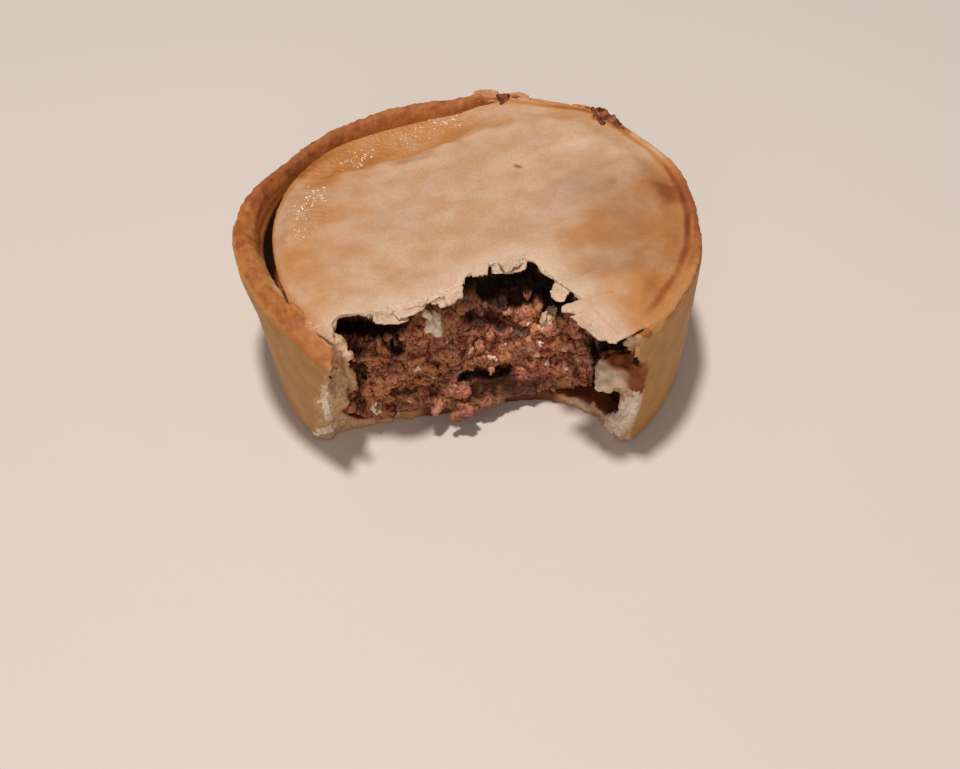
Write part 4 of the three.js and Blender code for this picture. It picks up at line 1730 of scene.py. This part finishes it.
@dataclass
class Filling:
    """The minced meat: coarse crumbs fused on to the bitten face."""

    studio: Studio
    voxel: float = 0.26
    grades: tuple[Grade, ...] = (
        Grade(50, (1.3, 2.0), 0.3),
        Grade(330, (0.7, 1.2), 0.3),
    )
    bits: Grade = Grade(1500, (0.25, 0.55), 0.15)
    crust: Mark = Mark(((476, 391), (500, 387), (530, 387), (560, 393), (590, 399)), 1.4, 1.8)
    cave_shade: tuple[Mark, ...] = (
        Mark(((484, 290), (502, 280), (526, 276), (546, 288), (564, 302)), 1.8, 2.0),
        Mark(((500, 298), (522, 297), (545, 301), (560, 307)), 1.7, 1.6, 0.93),
        Mark(((340, 328), (356, 326), (376, 332), (394, 326)), 1.2, 2.0),
        Mark(((382, 334), (392, 344), (397, 350)), 0.8, 1.4),
        Mark(((596, 346), (604, 362), (602, 388)), 1.0, 2.0),
        Mark(((462, 376), (474, 372), (488, 375), (506, 371)), 0.7, 1.2),
        Mark(((470, 318), (482, 320), (500, 326)), 0.7, 1.2, 0.9),
        Mark(((394, 393), (416, 391), (436, 394)), 0.3, 1.0, 0.85),
    )
    back: float = 1.3
    finish: MinceFinish = MinceFinish("cooked_mince")
    clump: Spot = (7.0, 2.0)
    bare_floor: Spot = (23, 14)
    tones: tuple[Spot, ...] = ((-25, 0.22), (-12, 0.3), (-2, 0.5), (10, 0.46), (25, 0.4))
    coarse: tuple[Spot, ...] = ((-14, 1.1), (-4, 0.7), (8, 0.7), (16, 1.1))
    # Painted light across the bitten face, by distance to the right.
    light: tuple[Spot, ...] = ((-14, 0.75), (-5, 0.1), (6, 0.1), (14, 0.6))
    clefts: tuple[Cleft, ...] = (
        Cleft(4, 0.85, (0.0, 0.13)), Cleft(12, 0.95, (0.02, 0.36)), Cleft(70, 1.0, (0.1, 1.1)),
    )
    hollows: tuple[Mark, ...] = (
        Mark(((384, 333), (392, 343), (398, 350)), 0.7, 1.8),
        Mark(((468, 318), (480, 320), (492, 320), (504, 326)), 0.5, 1.6),
        Mark(((462, 377), (474, 373), (488, 375), (506, 371)), 0.5, 1.5),
        Mark(((394, 393), (416, 391), (436, 393)), 0.3, 1.2, 0.8),
        Mark(((357, 364), (362, 376), (357, 392), (360, 408)), 0.7, 1.6),
        Mark(((598, 348), (604, 362), (606, 378), (602, 392)), 1.4, 1.8),
        Mark(((488, 288), (506, 281), (530, 284), (556, 299)), 2.4, 2.2),
        Mark(((512, 300), (534, 298), (560, 308)), 1.0, 1.8, 0.9),
        Mark(((342, 330), (358, 326), (380, 328), (404, 322)), 1.2, 2.0),
        Mark(((346, 345), (358, 350), (366, 348)), 0.7, 1.8, 0.8),
        Mark(((584, 330), (594, 346)), 0.8, 1.6, 0.8),
    )

    def build(self, group: bpy.types.NodeTree) -> bpy.types.Object:
        """Shapes and dresses the meat.

        Args:
            group: The shared crumb grain.

        Returns:
            The piece.
        """
        piece = Bench.copy_of("meat_filling", "mince")
        scatter = self.scatter(piece)
        self.draw_back(piece)
        Bench.join([piece, scatter.piece("mince_crumbs")], "mince")
        Bench.remesh(piece, self.voxel)
        self.roughen(piece)
        hidden = Bench.weigh(piece, "hidden", 1 - 0.98 * self.face(piece))
        Bench.work(piece, "DECIMATE", ratio=0.3, vertex_group=hidden)
        Bench.paint(piece, self.masks(piece, scatter))
        Bench.hand_in(piece, self.finish.material(group), Slot.MINCE, "meat_filling")
        return piece

    def face(self, piece: bpy.types.Object) -> np.ndarray:
        """Finds the bitten face and what shows under the lid beside it."""
        skin = Skin(piece)
        return smooth(skin.places[:, 1], -6, -11) * smooth(self.shown(skin.normals), -0.5, 0)

    @staticmethod
    def shown(normals: np.ndarray) -> np.ndarray:
        """Gives how far normals point forwards and up, to where the bite is seen from."""
        return -0.75 * normals[:, 1] + 0.65 * normals[:, 2]

    def draw_back(self, piece: bpy.types.Object) -> None:
        """Draws the bitten face back, so that the crumbs on it stand out."""
        Bench.remesh(piece, 0.6)
        places = Bench.places(piece)
        places[:, 1] += self.back * self.face(piece)
        Bench.lay(piece, places)

    def roughen(self, piece: bpy.types.Object) -> None:
        """Draws the crumbs together in clumps, opens the hollows and roughens the rest."""
        hollow = Mark.strongest(self.hollows, piece, self.studio)
        places = Bench.places(piece)
        face = self.face(piece)
        rough = Relief(Seed.CLUMPS)
        broken = np.clip(hollow * (0.9 + 0.9 * rough.fractal(places / 2.4, 3)), 0, 1)
        clumps = self.clump[1] * rough.fractal(places / self.clump[0], 2)
        places[:, 1] += face * (3.6 * broken + 2.5 * self.roofed(places) - clumps)
        Bench.lay(piece, places)
        crumbs = left_to_right(places, self.coarse) * rough.lumps(places / 1.6)
        Bench.raise_by(piece, face * (crumbs + 0.4 * rough.lumps(places / 0.7 + 3)))

    def roofed(self, places: np.ndarray) -> np.ndarray:
        """Finds the top of the bitten face, which draws back under the lid."""
        return smooth(places[:, 2] + 2.0 * Relief(Seed.ROOF).fractal(places / 5, 2), 24.5, 28.5)

    def scatter(self, piece: bpy.types.Object) -> Scatter:
        """Scatters crumbs over the bitten face, clear of the bare floor at its right and its crusty foot.

        Args:
            piece: The meat before the crumbs.

        Returns:
            The crumbs.
        """
        places = Bench.places(piece)
        piece.data.calc_loop_triangles()
        corners = np.array([list(t.vertices) for t in piece.data.loop_triangles])
        a, b, c = places[corners[:, 0]], places[corners[:, 1]], places[corners[:, 2]]
        normal = np.cross(b - a, c - a)
        area = np.linalg.norm(normal, axis=1)
        normal /= np.maximum(area, 1e-9)[:, None]
        middle = (a + b + c) / 3
        shows = (middle[:, 1] < -9) & (self.shown(normal) > 0.05)
        weights = np.where(shows, area, 0)
        scatter = Scatter(Seed.MINCE, 1.0)
        draw = scatter.draw
        for grade in self.grades:
            for face in draw.choice(len(corners), grade.count, p=weights / weights.sum()):
                u, v = draw.random(2)
                if u + v > 1:
                    u, v = 1 - u, 1 - v
                at = a[face] + u * (b - a)[face] + v * (c - a)[face]
                size = grade.size(draw)
                flat, long = 0.6 + 0.4 * draw.random(), 1 + 0.8 * draw.random()
                crust = self.crust.over(piece, self.studio, at[None])[0]
                if (at[0] < self.bare_floor[0] or at[2] > self.bare_floor[1]) and crust < 0.5:
                    scatter.add(at - grade.sunk * size * normal[face], (size * long, size, size * flat))
        lumps = list(scatter.points)
        for lump in draw.choice(len(lumps), self.bits.count):
            at = lumps[lump][draw.integers(len(lumps[lump]))]
            inwards = lumps[lump].mean(axis=0) - at
            size = self.bits.size(draw)
            scatter.add(at + self.bits.sunk * inwards, (1.3 * size, size, 0.8 * size))
        return scatter

    def masks(self, piece: bpy.types.Object, scatter: Scatter) -> dict[Mask, np.ndarray]:
        """Gives every crumb its own tone, paints shade into the clefts, the hollows, the cave and the top
        under the lid, the gap at the right and the crusty foot, and paints light on the left and right of
        the face.

        Args:
            piece: The finished meat.
            scatter: The crumbs fused on to it.

        Returns:
            The masks.
        """
        places = Bench.places(piece)
        tree = KDTree(len(scatter.centres))
        for i, centre in enumerate(scatter.centres):
            tree.insert(Vector(centre), i)
        tree.balance()
        draw = np.random.default_rng(Seed.TONES)
        centres = np.array(scatter.centres)
        mean = left_to_right(centres, self.tones)
        tones = mean + 0.2 * draw.normal(size=len(mean)) + 0.45 * (draw.random(len(mean)) < 0.1)
        reds = (draw.random(len(mean)) < 0.06) & (np.abs(centres[:, 0]) < 18)
        nearest = np.array([tree.find(Vector(place))[1] for place in places])
        # Painted shade in the hollows, broken up by noise.
        hollow = Mark.strongest(self.hollows, piece, self.studio)
        hollow = hollow * np.clip(0.6 + 0.9 * Relief(Seed.HOLLOWS).fractal(places / 1.8, 3), 0, 1)
        # Painted shade in the dark gap at the right of the bite and low down on the face.
        behind = np.maximum(smooth(places[:, 0], 23.5, 25.5), 0.4 * smooth(places[:, 2], 9, 4))
        # Painted shade in the cave under the lid's torn edge.
        cave_shade = Mark.strongest(self.cave_shade, piece, self.studio)
        # Painted shade along the crusty foot.
        crust = 0.72 * self.crust.over(piece, self.studio, places)
        # Painted shade where the face draws back under the lid.
        roof_shade = 0.95 * self.roofed(places)
        # Painted shade: the strongest of the clefts, hollows, gap, cave, foot and top under the lid.
        painted_shade = np.max([self.sunk(piece), hollow, roof_shade, behind, cave_shade, crust], axis=0)
        return {
            Mask.TONE_AND_SHADE: Bench.blur(piece, tones[nearest], 2),
            Mask.RED: 0.7 * Bench.blur(piece, reds[nearest].astype(float), 2),
            Mask.PAINTED_SHADE: np.clip(painted_shade, 0, 0.98),
            # Painted light on the left and right of the face.
            Mask.PALE_AND_PAINTED_LIGHT: left_to_right(places, self.light),
        }

    def sunk(self, piece: bpy.types.Object) -> np.ndarray:
        """Finds the clefts, which lie below the smoothed skin around them, for painted shade.

        Args:
            piece: The finished meat.

        Returns:
            How much painted shade falls in them at each point.
        """
        skin = Skin(piece)
        dark = []
        for cleft in self.clefts:
            drop = Bench.blur(piece, skin.places, cleft.rounds) - skin.places
            dark.append(cleft.dark * smooth((drop * skin.normals).sum(axis=1), *cleft.depths))
        return np.max(dark, axis=0)


@dataclass(frozen=True)
class Trail:
    """Crumbs strewn where the photograph shows them: how many, their half sizes, how far they stray."""

    pixels: tuple[Spot, ...]
    count: int
    sizes: Spot
    stray: float


@dataclass
class Trimmings:
    """What clings to the pie: flaps, burnt bits, torn crumbs and strips, beads of grease whose near-white
    colour is a painted highlight, flecks of fat.
    """

    studio: Studio
    case: bpy.types.Object
    lid: bpy.types.Object
    meat: bpy.types.Object
    flaps: tuple[Flake, ...] = (
        Flake(
            ((472, 101), (486, 101), (500, 101)), ((473, 91), (486, 89), (499, 91)),
            drop=-1.3, sunk=0.2, thick=0.5, rough=0.12, square=30, seed=12,
        ),
        Flake(
            ((509, 101), (519, 101), (530, 101)), ((510, 93), (519, 92), (529, 95)),
            drop=-1.0, sunk=0.2, thick=0.5, rough=0.12, square=30, seed=13,
        ),
    )
    peels: tuple[Flake, ...] = (
        Flake(
            ((322, 386), (321, 396), (323, 406), (325, 420)),
            ((329, 384), (326, 396), (330, 406), (329, 420)),
            drop=None, sunk=-0.2, thick=0.6, rough=0.9, square=14, seed=15,
        ),
        Flake(
            ((311, 434), (317, 428), (324, 427), (331, 425)),
            ((313, 438), (319, 434), (326, 433), (333, 431)),
            drop=None, sunk=-0.2, thick=0.7, rough=0.5, square=14, seed=16,
        ),
        Flake(
            ((637, 397), (634, 408), (628, 422), (619, 434)),
            ((627, 397), (620, 409), (612, 421), (602, 435)),
            drop=None, sunk=-0.2, thick=0.8, rough=0.9, square=14, seed=17,
        ),
    )
    burnt: tuple[Trail, ...] = (
        Trail(((594, 109), (603, 112), (613, 117), (622, 122)), 220, (0.25, 0.85), 3.4),
        Trail(((501, 98), (507, 98)), 50, (0.3, 0.8), 1.8),
        Trail(((309, 143), (312, 143)), 12, (0.25, 0.5), 1.0),
    )
    crumbs: tuple[Trail, ...] = (
        Trail(((328, 335), (338, 346), (348, 358)), 50, (0.15, 0.45), 2.5),
        Trail(((310, 322), (315, 328), (322, 327)), 22, (0.15, 0.4), 1.5),
        Trail(((332, 364), (341, 368)), 14, (0.2, 0.45), 2.0),
    )
    pale_crumbs: tuple[Trail, ...] = (
        Trail(((326, 386), (323, 398), (327, 408), (329, 420)), 45, (0.15, 0.45), 2.5),
        Trail(((312, 434), (323, 430), (333, 427)), 60, (0.2, 0.5), 2.0),
        Trail(((634, 397), (626, 411), (614, 427), (605, 436)), 200, (0.3, 1.0), 4.0),
        Trail(((597, 423), (607, 426)), 40, (0.2, 0.5), 1.5),
    )
    chunks: tuple[Trail, ...] = (Trail(((544, 324), (548, 317), (554, 312)), 50, (0.5, 1.0), 2.2),)
    beads: tuple[Trail, ...] = (
        Trail(((297, 215), (302, 206), (311, 198), (323, 191)), 90, (0.1, 0.3), 4.5),
        Trail(((297, 226), (300, 236), (306, 244)), 16, (0.1, 0.22), 3.0),
        Trail(((338, 168), (355, 162), (372, 154)), 50, (0.1, 0.26), 4.0),
        Trail(((396, 140), (420, 130), (444, 120), (460, 114)), 70, (0.1, 0.26), 4.5),
    )
    fat: tuple[tuple[Spot, float], ...] = (
        ((431, 321), 3.0), ((419, 368), 0.8), ((493, 358), 0.7), ((566, 349), 0.9), ((547, 363), 0.7),
        ((567, 368), 0.8), ((409, 400), 0.6), ((374, 407), 0.9), ((380, 411), 0.6), ((556, 331), 0.8),
        ((529, 322), 0.6), ((447, 342), 0.6), ((521, 335), 0.6), ((540, 344), 0.5), ((455, 385), 0.5),
        ((398, 412), 0.5), ((577, 358), 0.6), ((505, 345), 0.45), ((470, 352), 0.45), ((434, 378), 0.45),
    )
    fat_parts: int = 12
    voxel: float = 0.18
    flake_finish: PastryFinish = PastryFinish("torn_layer")
    crumb_finish: PastryFinish = PastryFinish(
        "torn_crumb", crumb=rgb(240, 214, 188), crumb_shade=rgb(216, 178, 144)
    )
    burnt_finish: PastryFinish = PastryFinish("burnt_bits", burnt=rgb(66, 26, 18))
    fat_finish: FatFinish = FatFinish("white_fat")
    # Painted highlight: near-white glossy beads stand for the glints of grease on the lid.
    glint_bead_finish: FatFinish = FatFinish(
        "glint_grease", white=rgb(255, 244, 228), cream=rgb(250, 226, 196), roughness=0.12, relief=0.0,
    )

    def build(self, group: bpy.types.NodeTree) -> None:
        """Makes and dresses every kind, one piece each.

        Args:
            group: The shared crumb grain.
        """
        layer = self.flake_finish.material(group)
        crumb = self.crumb_finish.material(group)
        flaps = Flake.layered(self.flaps, "rim_flaps", self.studio, self.case, self.lid)
        self.dress(flaps, layer, Slot.CASE, {Mask.TOAST: 0.3})
        burnt = self.clinging("burnt_bits", self.burnt, Seed.BURNT, self.case, self.lid, flaps)
        self.dress(burnt, self.burnt_finish.material(group), Slot.CASE, {Mask.TOAST: 0.95, Mask.BURN: 0.4})
        crumbs = self.clinging("torn_crumbs", self.crumbs, Seed.CRUMBS, self.case, self.lid)
        self.dress(crumbs, crumb, Slot.CASE, {Mask.TORN: 0.45, Mask.TOAST: 0.35})
        peels = Flake.layered(self.peels, "torn_peels", self.studio, self.case)
        pale = self.strewn(self.pale_crumbs, Seed.PALE_AND_PAINTED_LIGHT_CRUMBS, self.case, peels).piece("pale_crumbs")
        peels = Bench.join([peels, pale], "torn_peels")
        self.fuse(peels)
        self.dress(peels, crumb, Slot.CASE, {Mask.TORN: 0.95, Mask.PALE_AND_PAINTED_LIGHT: 0.85})
        chunks = self.clinging("torn_chunks", self.chunks, Seed.CHUNKS, self.meat, self.lid)
        self.dress(chunks, crumb, Slot.LID, {Mask.TORN: 0.7, Mask.TOAST: 0.2})
        # Beads of grease in near white, a painted highlight where the lid glints.
        beads = self.strewn(self.beads, Seed.BEADS, self.lid, facets=1).piece("glint_grease_beads")
        Bench.hand_in(beads, self.glint_bead_finish.material(group), Slot.LID)
        self.fat_flecks(group)

    def clinging(
        self, name: str, trails: tuple[Trail, ...], seed: Seed, *carriers: bpy.types.Object
    ) -> bpy.types.Object:
        """Strews one kind of crumb and fuses it.

        Args:
            name: The piece's name.
            trails: Where the crumbs lie.
            seed: Picks their places and shapes.
            *carriers: What they may rest on.

        Returns:
            The piece.
        """
        piece = self.strewn(trails, seed, *carriers).piece(name)
        self.fuse(piece)
        return piece

    def fuse(self, piece: bpy.types.Object) -> None:
        """Fuses crumbs into one rough skin."""
        Bench.remesh(piece, self.voxel)
        Bench.roughen(piece, 0.9, 0.3)
        Bench.roughen(piece, 0.4, 0.12)

    @staticmethod
    def dress(
        piece: bpy.types.Object, material: bpy.types.Material, slot: Slot, levels: dict[Mask, float]
    ) -> None:
        """Paints a small piece, dresses it and joins it to the pie.

        Args:
            piece: The flakes or crumbs.
            material: Their finish.
            slot: The record's slot for them.
            levels: How strong each mask is on them.
        """
        vary = 1 + 0.6 * Relief(Seed.BITS).fractal(Bench.places(piece) / 1.5, 2)
        Bench.paint(piece, {mask: level * vary for mask, level in levels.items()})
        Bench.hand_in(piece, material, slot)

    def strewn(
        self, trails: tuple[Trail, ...], seed: Seed, *carriers: bpy.types.Object, facets: int = 2
    ) -> Scatter:
        """Strews crumbs along trails, each resting on what the camera sees there.

        Args:
            trails: Where they lie.
            seed: Picks their places and shapes.
            *carriers: What they may rest on.
            facets: Fineness of the crumbs.

        Returns:
            The crumbs.
        """
        bpy.context.view_layer.update()
        scatter = Scatter(seed, 1.0, facets)
        draw = scatter.draw
        for trail in trails:
            stops = np.linspace(0, 1, len(trail.pixels))
            for _ in range(trail.count):
                along = draw.random()
                across, down = [np.interp(along, stops, axis) for axis in np.array(trail.pixels).T]
                stray = trail.stray * draw.normal(size=2)
                size = trail.sizes[0] + (trail.sizes[1] - trail.sizes[0]) * draw.random() ** 2
                radii = size * (0.7 + 0.6 * draw.random(3)) * np.array([1.3, 1, 0.55])
                spot = self.studio.nearest((float(across + stray[0]), float(down + stray[1])), *carriers)
                if spot is not None:
                    scatter.add(spot[0], tuple(radii), scatter.turn(spot[1]))
        return scatter

    def fat_flecks(self, group: bpy.types.NodeTree) -> None:
        """Sets flecks of white fat in the bitten face where the photograph shows them."""
        scatter = Scatter(Seed.FAT, 0.9)
        for pixel, size in self.fat:
            found = self.studio.seen(self.meat, pixel)
            if found is None:
                continue
            at, normal = found
            for _ in range(self.fat_parts):
                stray = 0.5 * size * scatter.draw.normal(size=3)
                stray -= (stray @ normal) * normal
                part = size * (0.25 + 0.25 * scatter.draw.random())
                scatter.add(at + stray + 0.2 * size * normal, (1.2 * part, 0.9 * part, 0.8 * part))
        piece = scatter.piece("fat_flecks")
        Bench.remesh(piece, self.voxel)
        Bench.roughen(piece, 1.5, 0.7)
        Bench.roughen(piece, 0.7, 0.3)
        Bench.hand_in(piece, self.fat_finish.material(group), Slot.MINCE)


def main() -> None:
    """Builds the pie and reports each piece."""
    logging.basicConfig(level=logging.INFO, format="%(message)s")
    studio = Studio()
    studio.build()
    group = crumb_grain()
    case = Case(studio).build(group)
    lid = Lid(studio).build(group)
    meat = Filling(studio).build(group)
    Trimmings(studio, case, lid, meat).build(group)


if __name__ == "__main__":
    main()
